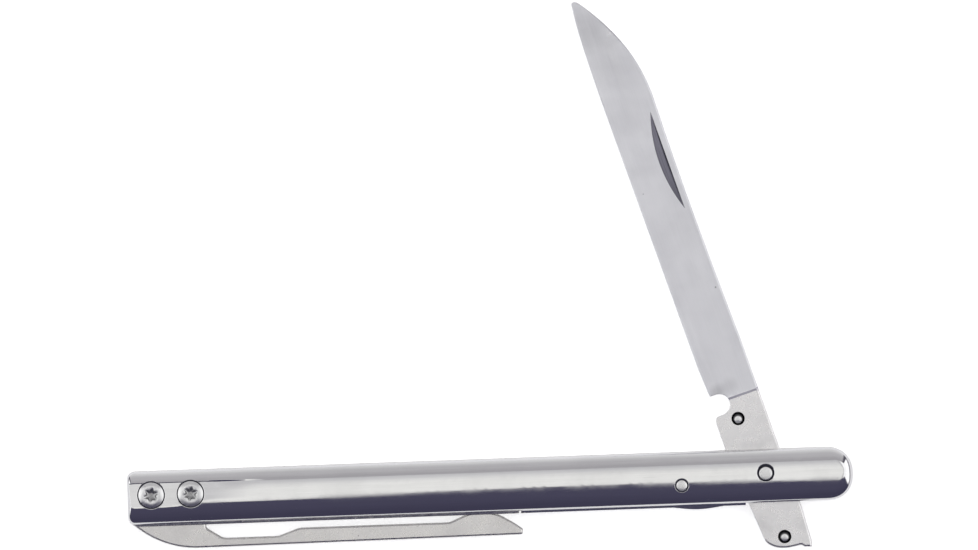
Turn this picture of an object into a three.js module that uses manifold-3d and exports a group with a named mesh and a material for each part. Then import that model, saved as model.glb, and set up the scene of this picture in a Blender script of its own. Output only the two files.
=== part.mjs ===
// Folding pocket knife, all steel: pressed shells, a ground blade with a lever tail, a liner lock and a plate clip.
// Millimetres. +X runs along the handle to its pivot end, +Y lies in the blade's plane, +Z is up.
// The knife lies on its rear shell, half open. The origin is on that shell's crown, half way along the handle.
// The blade has its own frame: u runs from the pivot to the tip, v to the cutting edge, z up from mid thickness.
import * as THREE from "three";
import { mergeVertices } from "three/addons/utils/BufferGeometryUtils.js";
import Module from "manifold-3d";

// Handle shells
const HANDLE_LENGTH = 122.1;
const HANDLE_WIDTH = 8.9;
const SHELL_HEIGHT = 2.0;
const SHELL_WALL = 0.7;
const CROWN_FLAT = 1.8; // width of the flat strip along the crown
const CROWN_CORNER = 0.4; // rounding of that strip's corners
const RIM_STRAIGHT = 0.3; // upright part of the rim
const FLANK_FULLNESS = 2.3; // exponent of the flank's curve, 2 for an ellipse
const BUTT_SLOPE = 0.9; // how far the flank runs in at the screw end
const BUTT_CORNER = 1.1;
const NOSE_SLOPE = 1.7; // how far the flank runs in at the pivot end
const NOSE_LENGTH = 4.4; // length of the rounded nose
const NOSE_FULLNESS = 2.3;

// Liners
const LINER_THICKNESS = 0.5;
const LINER_PROUD = 0.05; // how far the liners stand out past the shells
const LIP_PROUD = 0.35; // how much further the front liner's lower border stands out, up to the lock arm's end

// Screws and their sleeves
const SCREW_FROM_BUTT = 4.0;
const SCREW_SPACING = 6.63;
const SCREW_Y = 0.45;
const SCREW_HEAD_RADIUS = 2.25;
const SCREW_HEAD_HEIGHT = 0.8;
const SCREW_HEAD_BEVEL = 0.35;
const SCREW_RADIUS = 1.25;
const SCREW_APART = 0.9; // between the ends of two screws in one sleeve
const SOCKET_DEPTH = 0.6;
const SOCKET_RADIUS = 1.0; // mean radius of the six-lobe socket
const SOCKET_LOBE = 0.17;
const SOCKET_LOBES = 6;
const HEAD_SUNK = 0.05; // head top below the crown
const SLEEVE_WALL = 0.45;

// Pivot, washers and stop pin
const PIVOT_FROM_NOSE = 14.7;
const PIVOT_Y = 0.43;
const PIVOT_BARREL = 1.6; // radius of the pivot between the liners
const PIVOT_SHOULDER = 0.35; // how much thinner its ends are
const PIVOT_SUNK = 0.35; // its ends below the crown
const PIVOT_CHAMFER = 0.2;
const PIVOT_WINDOW = 0.25; // open ring round its end in the shell
const WASHER_WIDTH = 1.6;
const STOP_REACH = 14.26; // stop pin from the pivot
const STOP_BEARING = 186.16; // its direction from the pivot, in degrees
const STOP_RADIUS = 0.75;
const STOP_SPREAD = 0.18; // how much wider the peened heads are
const STOP_GROOVE = 0.22; // open ring round a peened head
const STOP_FLOOR = 0.3; // shell left under a peened head

// Blade
const BLADE_THICKNESS = 2.0;
const TIP_ROOM = 8.84; // from the folded tip to the clip's root
const TIP_HEIGHT = 3.97; // from the pivot's line to the tip
const TIP_ROUND = 0.35;
const POINT_LENGTH = 19.6; // the spine's curve down to the tip
const POINT_BELLY = { u: 6.1, v: 4.97 }; // how full that curve is near the tip, measured back from it
const POINT_LEAD = 7.5; // how straight it starts
const EDGE_SWEEP = 5.6; // length of the edge's last curve
const EDGE_HEIGHT = 4.93; // from the pivot's line to the cutting edge
const HEEL_HEIGHT = 4.73; // the same at the heel
const HEEL_RISE = 0.27; // how much lower the edge starts at the notch
const HEEL_LENGTH = 5.0;
const SPINE_HEIGHT = 3.72;
const SPINE_SWAY = 0.4; // how far the spine dips at mid length
const SWAY_LENGTH = 43;
const TANG_EDGE = 4.95; // tang's edge side from the pivot's line
const TANG_WAIST = 4.6; // the same at the pivot
const TANG_SWELL = { from: 3.0, to: 5.8 }; // where the edge side widens, from the pivot
const TANG_CORNER = { u: 1.1, v: 0.55 }; // the chamfer towards the notch
const NOTCH_RADIUS = 1.8;
const NOTCH_BEARING = 128.1; // from the folded stop pin to the notch's centre, in degrees
const PLUNGE_FROM_NOTCH = 0.22; // where the grind begins, past the notch's centre
const PLUNGE_RUN = 0.4;
const GRIND_STEP = 0.1; // how deep the grind starts at the spine
const GRIND_EDGE = 0.17; // half thickness that the grind leaves at the heel's edge
const GRIND_ALONG = 0.0012; // taper from plunge to tip
const EDGE_HALF = 0.03; // half thickness of the cutting edge
const EDGE_BEVEL = 0.28; // slope of the edge's own bevel
const NICK_FROM_TIP = 30.4; // to the nail nick's middle
const NICK_LENGTH = 17.3;
const NICK_WIDTH = 1.5;
const NICK_DEPTH = 0.45;
const NICK_FROM_SPINE = 1.47;
const BALL_PROUD = 0.19; // how far a detent ball stands out of the blade
const TANG_BALL = { u: 10.18, v: 1.23 };
const TAIL_BALL = { u: -11.17, v: 0.52 };
const DETENT_RADIUS = 0.85; // liner holes the balls drop into

// Lever tail and its hook
const TAIL_SPINE = 3.9; // tail's spine side from the pivot's line
const TAIL_EDGE = 3.8; // tail's edge side from the pivot's line, at its end
const TAIL_ROUND = 2.3; // length of the round corner on that side
const TAIL_LEAN = 0.35; // how far that corner leans in
const TAIL_RISE = 1.0; // where the tail's end turns into the corner and the cradle
const HOOK_LENGTH = 0.15; // hook's tip past the stop pin's centre
const HOOK_DROP = 2.0; // hook's tip below the stop pin's centre
const HOOK_WIDTH = 3.3;
const HOOK_TAPER = 0.2; // how much narrower the tail is there
const HOOK_ROUND = 0.4;
const CRADLE = { from: -68, to: 10 }; // bearings round the stop pin that the hook's cradle covers

// Blade angles in the handle, counted from +X in degrees
const REST_ANGLE = 107.6;
const OPEN_ANGLE = 1.1;
const CLOSED_ANGLE = 175.6;

// Lock arm, cut from the front liner's lower border
const ARM_LENGTH = 37.9;
const ARM_FROM_PIVOT = 3.45; // free end short of the pivot
const ARM_WIDTH = 1.4;
const ARM_NECK_WIDTH = 0.55;
const ARM_NECK_LENGTH = 7.85; // narrow stretch up to the free end
const SHOULDER_WIDTH = 1.1; // where the arm stands under the open tail
const SHOULDER_LENGTH = 6.0;
const BULGE_FROM_END = 8.0; // thumb bulge's middle
const BULGE_LENGTH = 8.4;
const BULGE_DEPTH = 0.6;
const BULGE_ROUND = 18;

// Pocket clip
const CLIP_LENGTH = 66.2;
const CLIP_DEPTH = 3.94; // lower edge below the liners' rim, at the tip
const CLIP_DROP = 0.37; // how much lower it runs at the butt
const CLIP_HEEL_START = 0.42; // where the heel's curve starts, above the rim
const CLIP_HEEL_ROUND = 16;
const CLIP_HEEL_FROM_BUTT = 6.15;
const CLIP_ROOT_PAST_SCREW = 2.35;
const CLIP_ROOT_DROP = 0.95; // where the root's side turns into the neck, below the rim
const CLIP_NECK_TOP = 2.75; // below the rim
const CLIP_NECK_RUN = 12.1; // from the root to the neck's far end
const CLIP_ARM_TOP = 1.5; // below the rim
const CLIP_ROOT_SLOPE = 2.8; // length of the slope down to the neck
const CLIP_STEP = 3.6; // length of the slope up from it
const CLIP_BUMP_FROM_TIP = 6.49;
const CLIP_BUMP_LEAD = 5.81; // from the arm to the bump's peak
const CLIP_BUMP_PEAK = 1.02; // peak of the bump's two slopes, above the rim
const CLIP_BUMP_ROUND = 7.4;
const CLIP_TIP_HEIGHT = 0.95;
const CLIP_BROW = { back: 1.65, drop: 1.83, round: 12 }; // where the slope to the tip bends, below the rim
const CLIP_CORNER = 0.4; // small corners
const CLIP_BEND = 2.5; // bends of the upper contour
const CLIP_ROUND = 0.2; // tumbled edge

// Clearances
const RUNNING = 0.03; // shaft in bore
const BALL_CLEARANCE = 0.01; // ball to liner
const SEAT_CLEARANCE = 0.2; // around a screw head in its seat
const FASTENER_HOLE = 0.1; // round a screw's shank
const STOP_CLEARANCE = 0.05; // hook and notch to the stop pin
const TAIL_CLEARANCE = 0.2; // tail end to the stop pin as it swings past
const ARM_GAP = 0.3; // round the lock arm
const SPACER_INSET = 0.15; // clip root inside the liners' outline

// Facets
const ROUND_STEPS = 36;
const BORE_STEPS = 24;
const BALL_STEPS = 18;
const NOSE_STEPS = 20;
const CORNER_STEPS = 4;
const FLANK_STEPS = 8;
const CURVE_STEPS = 10;
const SOCKET_STEPS = 36;
const NICK_STEPS = 12;
const ARC_ERROR = 0.008; // how deep a facet may cut a rounded corner
const THROUGH = 1; // how far a cutter runs past what it cuts
const MERGE_DISTANCE = 1e-4;

// Stack of plates, from the rear crown up
const BALL_RADIUS = BLADE_THICKNESS / 2 + BALL_PROUD;
const WASHER_THICKNESS = BALL_PROUD + BALL_CLEARANCE;
const BLADE_SLOT = BLADE_THICKNESS + 2 * WASHER_THICKNESS;
const REAR_LINER_Z = SHELL_HEIGHT;
const SLOT_Z = REAR_LINER_Z + LINER_THICKNESS;
const MID_Z = SLOT_Z + BLADE_SLOT / 2;
const FRONT_LINER_Z = SLOT_Z + BLADE_SLOT;
const FRONT_SHELL_Z = FRONT_LINER_Z + LINER_THICKNESS;

// Places along the handle
const BUTT = -HANDLE_LENGTH / 2;
const PIVOT = { x: HANDLE_LENGTH / 2 - PIVOT_FROM_NOSE, y: PIVOT_Y };
const STOP = polar(PIVOT, STOP_REACH, STOP_BEARING);
const SCREWS = { outer: BUTT + SCREW_FROM_BUTT, inner: BUTT + SCREW_FROM_BUTT + SCREW_SPACING };
const CLIP_ROOT = SCREWS.inner + CLIP_ROOT_PAST_SCREW;
const RIM = -HANDLE_WIDTH / 2 - LINER_PROUD; // liners' lower border
const LIP = RIM - LIP_PROUD;
const ARM_END = PIVOT.x - ARM_FROM_PIVOT;
const ARM_ROOT = ARM_END - ARM_LENGTH;

// Screw, sleeve and pin sizes that follow
const SLEEVE_RADIUS = SCREW_RADIUS + RUNNING + SLEEVE_WALL;
const SEAT_RADIUS = SCREW_HEAD_RADIUS + SEAT_CLEARANCE;
const SEAT_FLOOR = SHELL_HEIGHT - HEAD_SUNK - SCREW_HEAD_HEIGHT;
const SEAT_UNDERSIDE = SEAT_FLOOR - SHELL_WALL;
const SCREW_REACH = BLADE_SLOT / 2 + LINER_THICKNESS + SEAT_FLOOR - SCREW_APART / 2;
const PIVOT_END = PIVOT_BARREL - PIVOT_SHOULDER;
const STOP_HEAD = STOP_RADIUS + STOP_SPREAD;

// Places on the blade
const TIP = { u: PIVOT.x - CLIP_ROOT - TIP_ROOM, v: TIP_HEIGHT };
const FOLDED_STOP = stopInBlade(CLOSED_ANGLE);
const OPEN_STOP = stopInBlade(OPEN_ANGLE);
const NOTCH = polar(FOLDED_STOP, NOTCH_RADIUS - STOP_RADIUS - STOP_CLEARANCE, NOTCH_BEARING);
const PLUNGE = NOTCH.x + PLUNGE_FROM_NOTCH;
const TAIL_REACH = STOP_REACH - STOP_RADIUS - TAIL_CLEARANCE;
const GRIND_START = BLADE_THICKNESS / 2 - GRIND_STEP;
const GRIND_ACROSS = (GRIND_START - GRIND_EDGE) / (SPINE_HEIGHT + EDGE_HEIGHT);

const steel = (color, roughness) => new THREE.MeshStandardMaterial({ color, roughness, metalness: 1 });
const FINISHES = {
  polished: steel(0xd2d0d2, 0.12),
  satin: steel(0xcccac8, 0.35),
  brushed: steel(0xc8c8ce, 0.4),
  spring: steel(0x9a98a0, 0.3),
  ball: steel(0xd8d8d8, 0.08),
  bronze: steel(0xb08d57, 0.35),
};

const wasm = await Module();
wasm.setup();

// The point at a distance and a bearing in degrees from another.
function polar({ x, y }, distance, bearing) {
  const angle = THREE.MathUtils.degToRad(bearing);
  return new THREE.Vector2(x + distance * Math.cos(angle), y + distance * Math.sin(angle));
}

// The stop pin's centre in the blade's frame, with the blade at an angle in degrees.
function stopInBlade(angle) {
  return polar({ x: 0, y: 0 }, STOP_REACH, STOP_BEARING - angle);
}

// A point of the blade in the handle's frame, with the blade at an angle in degrees.
function bladeInHandle({ u, v }, angle) {
  const along = polar(PIVOT, u, angle);
  return polar(along, v, angle + 90);
}

// A three.js geometry as a solid, with its faces turned outwards.
function solid(geometry) {
  const bare = new THREE.BufferGeometry();
  bare.setAttribute("position", geometry.getAttribute("position"));
  bare.setIndex(geometry.getIndex());
  const merged = mergeVertices(bare, MERGE_DISTANCE);
  const triVerts = new Uint32Array(merged.index.array);
  const vertProperties = merged.attributes.position.array;
  const made = new wasm.Manifold(new wasm.Mesh({ numProp: 3, vertProperties, triVerts }));
  if (made.volume() > 0) return made;
  triVerts.reverse();
  return new wasm.Manifold(new wasm.Mesh({ numProp: 3, vertProperties, triVerts }));
}

// A named mesh from a solid, at its place.
function piece(name, body, finish, x = 0, y = 0, z = 0) {
  const { vertProperties, triVerts } = body.getMesh();
  const geometry = new THREE.BufferGeometry();
  geometry.setAttribute("position", new THREE.BufferAttribute(vertProperties, 3));
  geometry.setIndex(new THREE.BufferAttribute(triVerts, 1));
  geometry.computeVertexNormals();
  const mesh = new THREE.Mesh(geometry, finish);
  mesh.name = name;
  mesh.position.set(x, y, z);
  return mesh;
}

// A solid turned about Z from [radius, height] pairs that start and end on the axis.
function turned(profile, steps = BORE_STEPS) {
  const points = profile.map(([radius, height]) => new THREE.Vector2(radius, height));
  return solid(new THREE.LatheGeometry(points, steps).rotateX(Math.PI / 2));
}

// An upright round bar between two heights.
function bar(radius, low, high, steps = BORE_STEPS) {
  return turned([[0, low], [radius, low], [radius, high], [0, high]], steps);
}

// A body without an upright round hole through all of its height.
function bored(body, { x, y }, radius, steps = BORE_STEPS) {
  const { min, max } = body.boundingBox();
  return body.subtract(bar(radius, min[2] - THROUGH, max[2] + THROUGH, steps).translate([x, y, 0]));
}

// A flat outline raised from one height to another.
function plate(shape, low, high) {
  const options = { depth: high - low, bevelEnabled: false, curveSegments: CURVE_STEPS };
  return solid(new THREE.ExtrudeGeometry(shape, options).translate(0, 0, low));
}

// Points on a round arc from one bearing to another, in degrees.
function arc(centre, radius, from, to, steps) {
  return Array.from({ length: steps + 1 }, (_, i) => {
    return polar(centre, radius, THREE.MathUtils.lerp(from, to, i / steps));
  });
}

// An outline through corners [x, y, radius], each rounded by its own radius.
function rounded(corners) {
  const points = corners.flatMap(([x, y, radius], i) => {
    const corner = new THREE.Vector2(x, y);
    if (radius === 0) return [corner];
    const toward = (step) => {
      const [nextX, nextY] = corners[(i + step + corners.length) % corners.length];
      return new THREE.Vector2(nextX - x, nextY - y).normalize();
    };
    const back = toward(-1);
    const ahead = toward(1);
    const half = back.angleTo(ahead) / 2;
    const centre = back.clone().add(ahead).setLength(radius / Math.sin(half)).add(corner);
    const first = back.clone().setLength(radius / Math.tan(half)).add(corner).sub(centre);
    const from = THREE.MathUtils.radToDeg(first.angle());
    const turn = Math.PI - 2 * half;
    const steps = Math.ceil(turn * Math.sqrt(radius / (8 * ARC_ERROR)));
    return arc(centre, radius, from, from + Math.sign(ahead.cross(back)) * THREE.MathUtils.radToDeg(turn), steps);
  });
  return new THREE.Shape(points);
}

// A closed solid through rings of equal point counts, each a list of [x, y, z] points.
function loft(rings) {
  const count = rings[0].length;
  const index = [];
  for (let r = 0; r + 1 < rings.length; r++)
    for (let i = 0; i < count; i++) {
      const a = r * count + i;
      const b = r * count + ((i + 1) % count);
      index.push(a, b, b + count, a, b + count, a + count);
    }
  const last = (rings.length - 1) * count;
  for (let i = 1; i + 1 < count; i++) {
    index.push(0, i + 1, i);
    index.push(last, last + i, last + i + 1);
  }
  const geometry = new THREE.BufferGeometry();
  geometry.setAttribute("position", new THREE.Float32BufferAttribute(rings.flat(2), 3));
  geometry.setIndex(index);
  return solid(geometry);
}

// The handle's outline: `inward` runs from 0 at the rim to 1 at the crown, and `grow` widens it all round.
function handleOutline(inward, grow) {
  const share = (outer, inner) => THREE.MathUtils.lerp(outer, inner, inward);
  const halfWidth = share(HANDLE_WIDTH / 2 + grow, CROWN_FLAT / 2);
  const butt = BUTT - grow + inward * BUTT_SLOPE;
  const nose = -BUTT + grow - inward * NOSE_SLOPE;
  const corner = share(BUTT_CORNER, CROWN_CORNER);
  const noseLength = share(NOSE_LENGTH, CROWN_CORNER);
  const bend = (value) => Math.sign(value) * Math.abs(value) ** (2 / NOSE_FULLNESS);
  const round = arc({ x: 0, y: 0 }, 1, -90, 90, NOSE_STEPS).map(
    ({ x, y }) => new THREE.Vector2(nose - noseLength * (1 - bend(x)), halfWidth * bend(y)),
  );
  const upper = arc({ x: butt + corner, y: halfWidth - corner }, corner, 90, 180, CORNER_STEPS);
  const lower = arc({ x: butt + corner, y: corner - halfWidth }, corner, 180, 270, CORNER_STEPS);
  return [...round, ...upper, ...lower];
}

// The pillow form of a half shell, its foot at `foot`. The inner form is smaller by the wall.
function pillow(wall, foot) {
  const bend = (value) => Math.max(value, 0) ** (2 / FLANK_FULLNESS);
  const flank = arc({ x: 0, y: 0 }, 1, 0, 90, FLANK_STEPS).map(({ x, y }) => {
    const z = THREE.MathUtils.lerp(RIM_STRAIGHT, SHELL_HEIGHT - wall, bend(y));
    return handleOutline(1 - bend(x), -wall).map((p) => [p.x, p.y, z]);
  });
  return loft([handleOutline(0, -wall).map((p) => [p.x, p.y, foot]), ...flank]);
}

// A pressed half shell, its rim at z = 0 and its crown up: screw seats, pivot window and stop pin groove.
function halfShell() {
  const outside = pillow(0, 0);
  const top = SHELL_HEIGHT + THROUGH;
  let shell = outside.subtract(pillow(SHELL_WALL, -THROUGH));
  for (const x of Object.values(SCREWS)) {
    const dish = bar(SEAT_RADIUS + SHELL_WALL, SEAT_UNDERSIDE, top, ROUND_STEPS).translate([x, SCREW_Y, 0]);
    const seat = bar(SEAT_RADIUS, SEAT_FLOOR, top, ROUND_STEPS).translate([x, SCREW_Y, 0]);
    shell = shell.add(dish.intersect(outside)).subtract(seat);
    shell = bored(shell, { x, y: SCREW_Y }, SCREW_RADIUS + FASTENER_HOLE);
  }
  const groove = bar(STOP_HEAD + STOP_GROOVE, SHELL_HEIGHT - SHELL_WALL + STOP_FLOOR, top, ROUND_STEPS);
  shell = shell.subtract(groove.translate([STOP.x, STOP.y, 0]));
  shell = bored(shell, STOP, STOP_RADIUS + RUNNING);
  return bored(shell, PIVOT, PIVOT_END + PIVOT_WINDOW, ROUND_STEPS);
}

// A full liner plate with its bores and the two detent holes.
function linerBody() {
  let liner = plate(new THREE.Shape(handleOutline(0, LINER_PROUD)), 0, LINER_THICKNESS);
  for (const x of Object.values(SCREWS)) liner = bored(liner, { x, y: SCREW_Y }, SLEEVE_RADIUS + RUNNING);
  liner = bored(liner, PIVOT, PIVOT_END + RUNNING);
  liner = bored(liner, STOP, STOP_RADIUS + RUNNING);
  liner = bored(liner, bladeInHandle(TANG_BALL, OPEN_ANGLE), DETENT_RADIUS);
  return bored(liner, bladeInHandle(TAIL_BALL, CLOSED_ANGLE), DETENT_RADIUS);
}

// The lock arm's outline, or with a gap the room it needs in the liner.
function armOutline(gap, below) {
  const bottom = LIP - below;
  const top = (width) => LIP + width + gap;
  const neck = ARM_END - ARM_NECK_LENGTH;
  const shoulder = neck - (SHOULDER_WIDTH - ARM_NECK_WIDTH);
  const heel = shoulder - SHOULDER_LENGTH;
  const bulge = ARM_END - BULGE_FROM_END;
  return rounded([
    [ARM_ROOT - gap, bottom, 0],
    [bulge - BULGE_LENGTH / 2, bottom, BULGE_LENGTH / 2],
    [bulge, bottom - BULGE_DEPTH, BULGE_ROUND],
    [bulge + BULGE_LENGTH / 2, bottom, BULGE_LENGTH / 2],
    [ARM_END + gap, bottom, ARM_NECK_WIDTH / 3],
    [ARM_END + gap, top(ARM_NECK_WIDTH), ARM_NECK_WIDTH / 3],
    [neck, top(ARM_NECK_WIDTH), 0],
    [shoulder, top(SHOULDER_WIDTH), 0],
    [heel, top(SHOULDER_WIDTH), 0],
    [heel - (ARM_WIDTH - SHOULDER_WIDTH), top(ARM_WIDTH), 0],
    [ARM_ROOT - gap, top(ARM_WIDTH), 0],
  ]);
}

// The front liner: a full plate, the lip below it up to the lock arm's root, and the arm's room cut out.
function frontLinerBody() {
  const start = BUTT + BUTT_CORNER;
  const lip = rounded([
    [start, RIM + LIP_PROUD, 0],
    [start, LIP, LIP_PROUD],
    [ARM_ROOT, LIP, 0],
    [ARM_ROOT, RIM + LIP_PROUD, 0],
  ]);
  const room = plate(armOutline(ARM_GAP, THROUGH), -THROUGH, LINER_THICKNESS + THROUGH);
  return linerBody().add(plate(lip, 0, LINER_THICKNESS)).subtract(room);
}

// Half thickness of the ground blade at a point.
function groundHalf(u, v) {
  return GRIND_START - GRIND_ACROSS * (v + SPINE_HEIGHT) - GRIND_ALONG * (u - PLUNGE);
}

// Outline of blade, tang and tail in one: the point, the spine back to the tail, hook, tang and cutting edge.
function bladeOutline() {
  const shape = new THREE.Shape();
  const spine = { u: TIP.u - POINT_LENGTH, v: SPINE_SWAY / 3 - SPINE_HEIGHT };
  shape.moveTo(TIP.u, TIP.v);
  shape.quadraticCurveTo(TIP.u + TIP_ROUND / 4, TIP.v - TIP_ROUND, TIP.u - TIP_ROUND, TIP.v - 2.5 * TIP_ROUND);
  shape.bezierCurveTo(TIP.u - POINT_BELLY.u, TIP.v - POINT_BELLY.v, spine.u + POINT_LEAD, spine.v, spine.u, spine.v);
  const sway = (share, rise) => [spine.u - share * SWAY_LENGTH, rise * SPINE_SWAY - SPINE_HEIGHT];
  shape.bezierCurveTo(...sway(1 / 3, 1.3), ...sway(2 / 3, 0.8), ...sway(1, 0));
  shape.lineTo(0, -SPINE_HEIGHT);

  const hook = { u: OPEN_STOP.x - HOOK_LENGTH, v: OPEN_STOP.y - HOOK_DROP };
  shape.lineTo(hook.u / 2, -TAIL_SPINE);
  shape.lineTo(hook.u + HOOK_WIDTH, HOOK_TAPER - TAIL_SPINE);
  shape.quadraticCurveTo(hook.u + HOOK_ROUND, hook.v - HOOK_ROUND, hook.u, hook.v);
  const cradle = [THREE.MathUtils.degToRad(CRADLE.from), THREE.MathUtils.degToRad(CRADLE.to)];
  shape.absarc(OPEN_STOP.x, OPEN_STOP.y, STOP_RADIUS + STOP_CLEARANCE, ...cradle, false);
  shape.lineTo(-TAIL_REACH, OPEN_STOP.y + TAIL_RISE);
  shape.quadraticCurveTo(TAIL_LEAN - TAIL_REACH, TAIL_EDGE - TAIL_RISE, TAIL_ROUND - TAIL_REACH, TAIL_EDGE);

  shape.lineTo(0, TANG_WAIST);
  shape.lineTo(TANG_SWELL.from, TANG_WAIST);
  shape.lineTo(TANG_SWELL.to, TANG_EDGE);
  const mouth = { from: NOTCH.x - NOTCH_RADIUS, to: NOTCH.x + NOTCH_RADIUS };
  shape.lineTo(mouth.from - TANG_CORNER.u, TANG_EDGE);
  shape.quadraticCurveTo(mouth.from - TANG_CORNER.u / 3, TANG_EDGE, mouth.from, TANG_EDGE - TANG_CORNER.v);
  shape.lineTo(mouth.from, NOTCH.y);
  shape.lineTo(mouth.to, NOTCH.y);
  shape.lineTo(mouth.to, HEEL_HEIGHT - HEEL_RISE);
  shape.lineTo(mouth.to + HEEL_LENGTH, HEEL_HEIGHT);
  shape.lineTo(spine.u, EDGE_HEIGHT);
  shape.quadraticCurveTo(TIP.u - EDGE_SWEEP, EDGE_HEIGHT, TIP.u - 3 * TIP_ROUND, TIP.v + TIP_ROUND);
  shape.quadraticCurveTo(TIP.u, TIP.v + TIP_ROUND, TIP.u, TIP.v);
  return shape;
}

// What a sloping plane takes off the blade's front face, from `start` to past the tip.
function faceCutter(start, run, sideLow, height) {
  const far = TIP.u + THROUGH;
  const sideHigh = EDGE_HEIGHT + THROUGH;
  const ring = (near, level) => [
    [near, sideLow, level(near, sideLow)],
    [far, sideLow, level(far, sideLow)],
    [far, sideHigh, level(far, sideHigh)],
    [near, sideHigh, level(near, sideHigh)],
  ];
  return loft([ring(start + run, height), ring(start, () => BLADE_THICKNESS)]);
}

// The crescent nail nick: a steep wall on the spine side and a floor that runs out towards the edge.
function nickCutter() {
  const wall = NICK_FROM_SPINE - SPINE_HEIGHT;
  const rings = [];
  for (let i = 1; i < NICK_STEPS; i++) {
    const along = (2 * i) / NICK_STEPS - 1;
    const share = 1 - along * along;
    const u = TIP.u - NICK_FROM_TIP + (along * NICK_LENGTH) / 2;
    const rim = wall + NICK_WIDTH * share;
    const floor = groundHalf(u, wall) - NICK_DEPTH * share;
    const top = BLADE_THICKNESS;
    rings.push([[u, wall, floor], [u, rim, groundHalf(u, rim)], [u, rim, top], [u, wall, top]]);
  }
  return loft(rings);
}

// The blade with its tang and lever tail, z = 0 at mid thickness.
function bladeBody() {
  const half = BLADE_THICKNESS / 2;
  let blade = plate(bladeOutline(), -half, half);
  const bevel = (u, v) => EDGE_HALF + EDGE_BEVEL * (EDGE_HEIGHT - v);
  const grinds = [
    faceCutter(PLUNGE, PLUNGE_RUN, -SPINE_HEIGHT - THROUGH, groundHalf),
    faceCutter(NOTCH.x, 0, 0, bevel),
  ];
  for (const grind of grinds) blade = blade.subtract(grind).subtract(grind.mirror([0, 0, 1]));
  blade = blade.subtract(nickCutter());
  blade = bored(blade, NOTCH, NOTCH_RADIUS, ROUND_STEPS);
  blade = bored(blade, { x: 0, y: 0 }, PIVOT_BARREL + RUNNING, ROUND_STEPS);
  for (const { u, v } of [TANG_BALL, TAIL_BALL]) blade = bored(blade, { x: u, y: v }, BALL_RADIUS + RUNNING, ROUND_STEPS);
  return blade;
}

// The six-lobe socket, cut down from a head's top.
function socketCutter() {
  const outline = Array.from({ length: SOCKET_STEPS }, (_, i) => {
    const angle = (i / SOCKET_STEPS) * 360;
    const lobe = SOCKET_LOBE * Math.cos(THREE.MathUtils.degToRad(SOCKET_LOBES * angle));
    return polar({ x: 0, y: 0 }, SOCKET_RADIUS + lobe, angle);
  });
  return plate(new THREE.Shape(outline), SCREW_HEAD_HEIGHT - SOCKET_DEPTH, SCREW_HEAD_HEIGHT + THROUGH);
}

// A button-head screw, the underside of its head at z = 0.
function screwBody() {
  const shoulder = SCREW_HEAD_HEIGHT - SCREW_HEAD_BEVEL;
  const face = SCREW_HEAD_RADIUS - SCREW_HEAD_BEVEL;
  const shank = [[0, -SCREW_REACH], [SCREW_RADIUS, -SCREW_REACH], [SCREW_RADIUS, 0]];
  const head = [[SCREW_HEAD_RADIUS, 0], [SCREW_HEAD_RADIUS, shoulder], [face, SCREW_HEAD_HEIGHT]];
  return turned([...shank, ...head, [0, SCREW_HEAD_HEIGHT]], ROUND_STEPS).subtract(socketCutter());
}

// A threaded sleeve, centred on mid height, that holds the seats of both shells apart.
function sleeveBody() {
  const half = BLADE_SLOT / 2 + LINER_THICKNESS + SEAT_UNDERSIDE;
  return bored(bar(SLEEVE_RADIUS, -half, half), { x: 0, y: 0 }, SCREW_RADIUS + RUNNING);
}

// A pin that is the same both ways from mid height, from the upper half of its profile.
function pinBody(upper) {
  const lower = upper.map(([radius, height]) => [radius, -height]).reverse();
  return turned([...lower, ...upper], ROUND_STEPS);
}

// The pivot pin: a barrel between the liners and thinner, chamfered ends through liners and shells.
function pivotBody() {
  const shoulder = BLADE_SLOT / 2;
  const end = shoulder + LINER_THICKNESS + SHELL_HEIGHT - PIVOT_SUNK;
  const face = PIVOT_END - PIVOT_CHAMFER;
  return pinBody([
    [PIVOT_BARREL, shoulder],
    [PIVOT_END, shoulder],
    [PIVOT_END, end - PIVOT_CHAMFER],
    [face, end],
    [0, end],
  ]);
}

// The stop pin: a thin shank with a peened, domed head in each shell, flush with the crown.
function stopBody() {
  const crown = BLADE_SLOT / 2 + LINER_THICKNESS + SHELL_HEIGHT;
  const under = crown - SHELL_WALL + STOP_FLOOR;
  const domeFoot = (under + crown) / 2;
  return pinBody([
    [STOP_RADIUS, under],
    [STOP_HEAD, under],
    [STOP_HEAD, domeFoot],
    [STOP_RADIUS, crown],
    [0, crown],
  ]);
}

// A flat washer, its underside at z = 0.
function washerBody() {
  const disc = bar(PIVOT_BARREL + WASHER_WIDTH, 0, WASHER_THICKNESS, ROUND_STEPS);
  return bored(disc, { x: 0, y: 0 }, PIVOT_BARREL + RUNNING, ROUND_STEPS);
}

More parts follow.
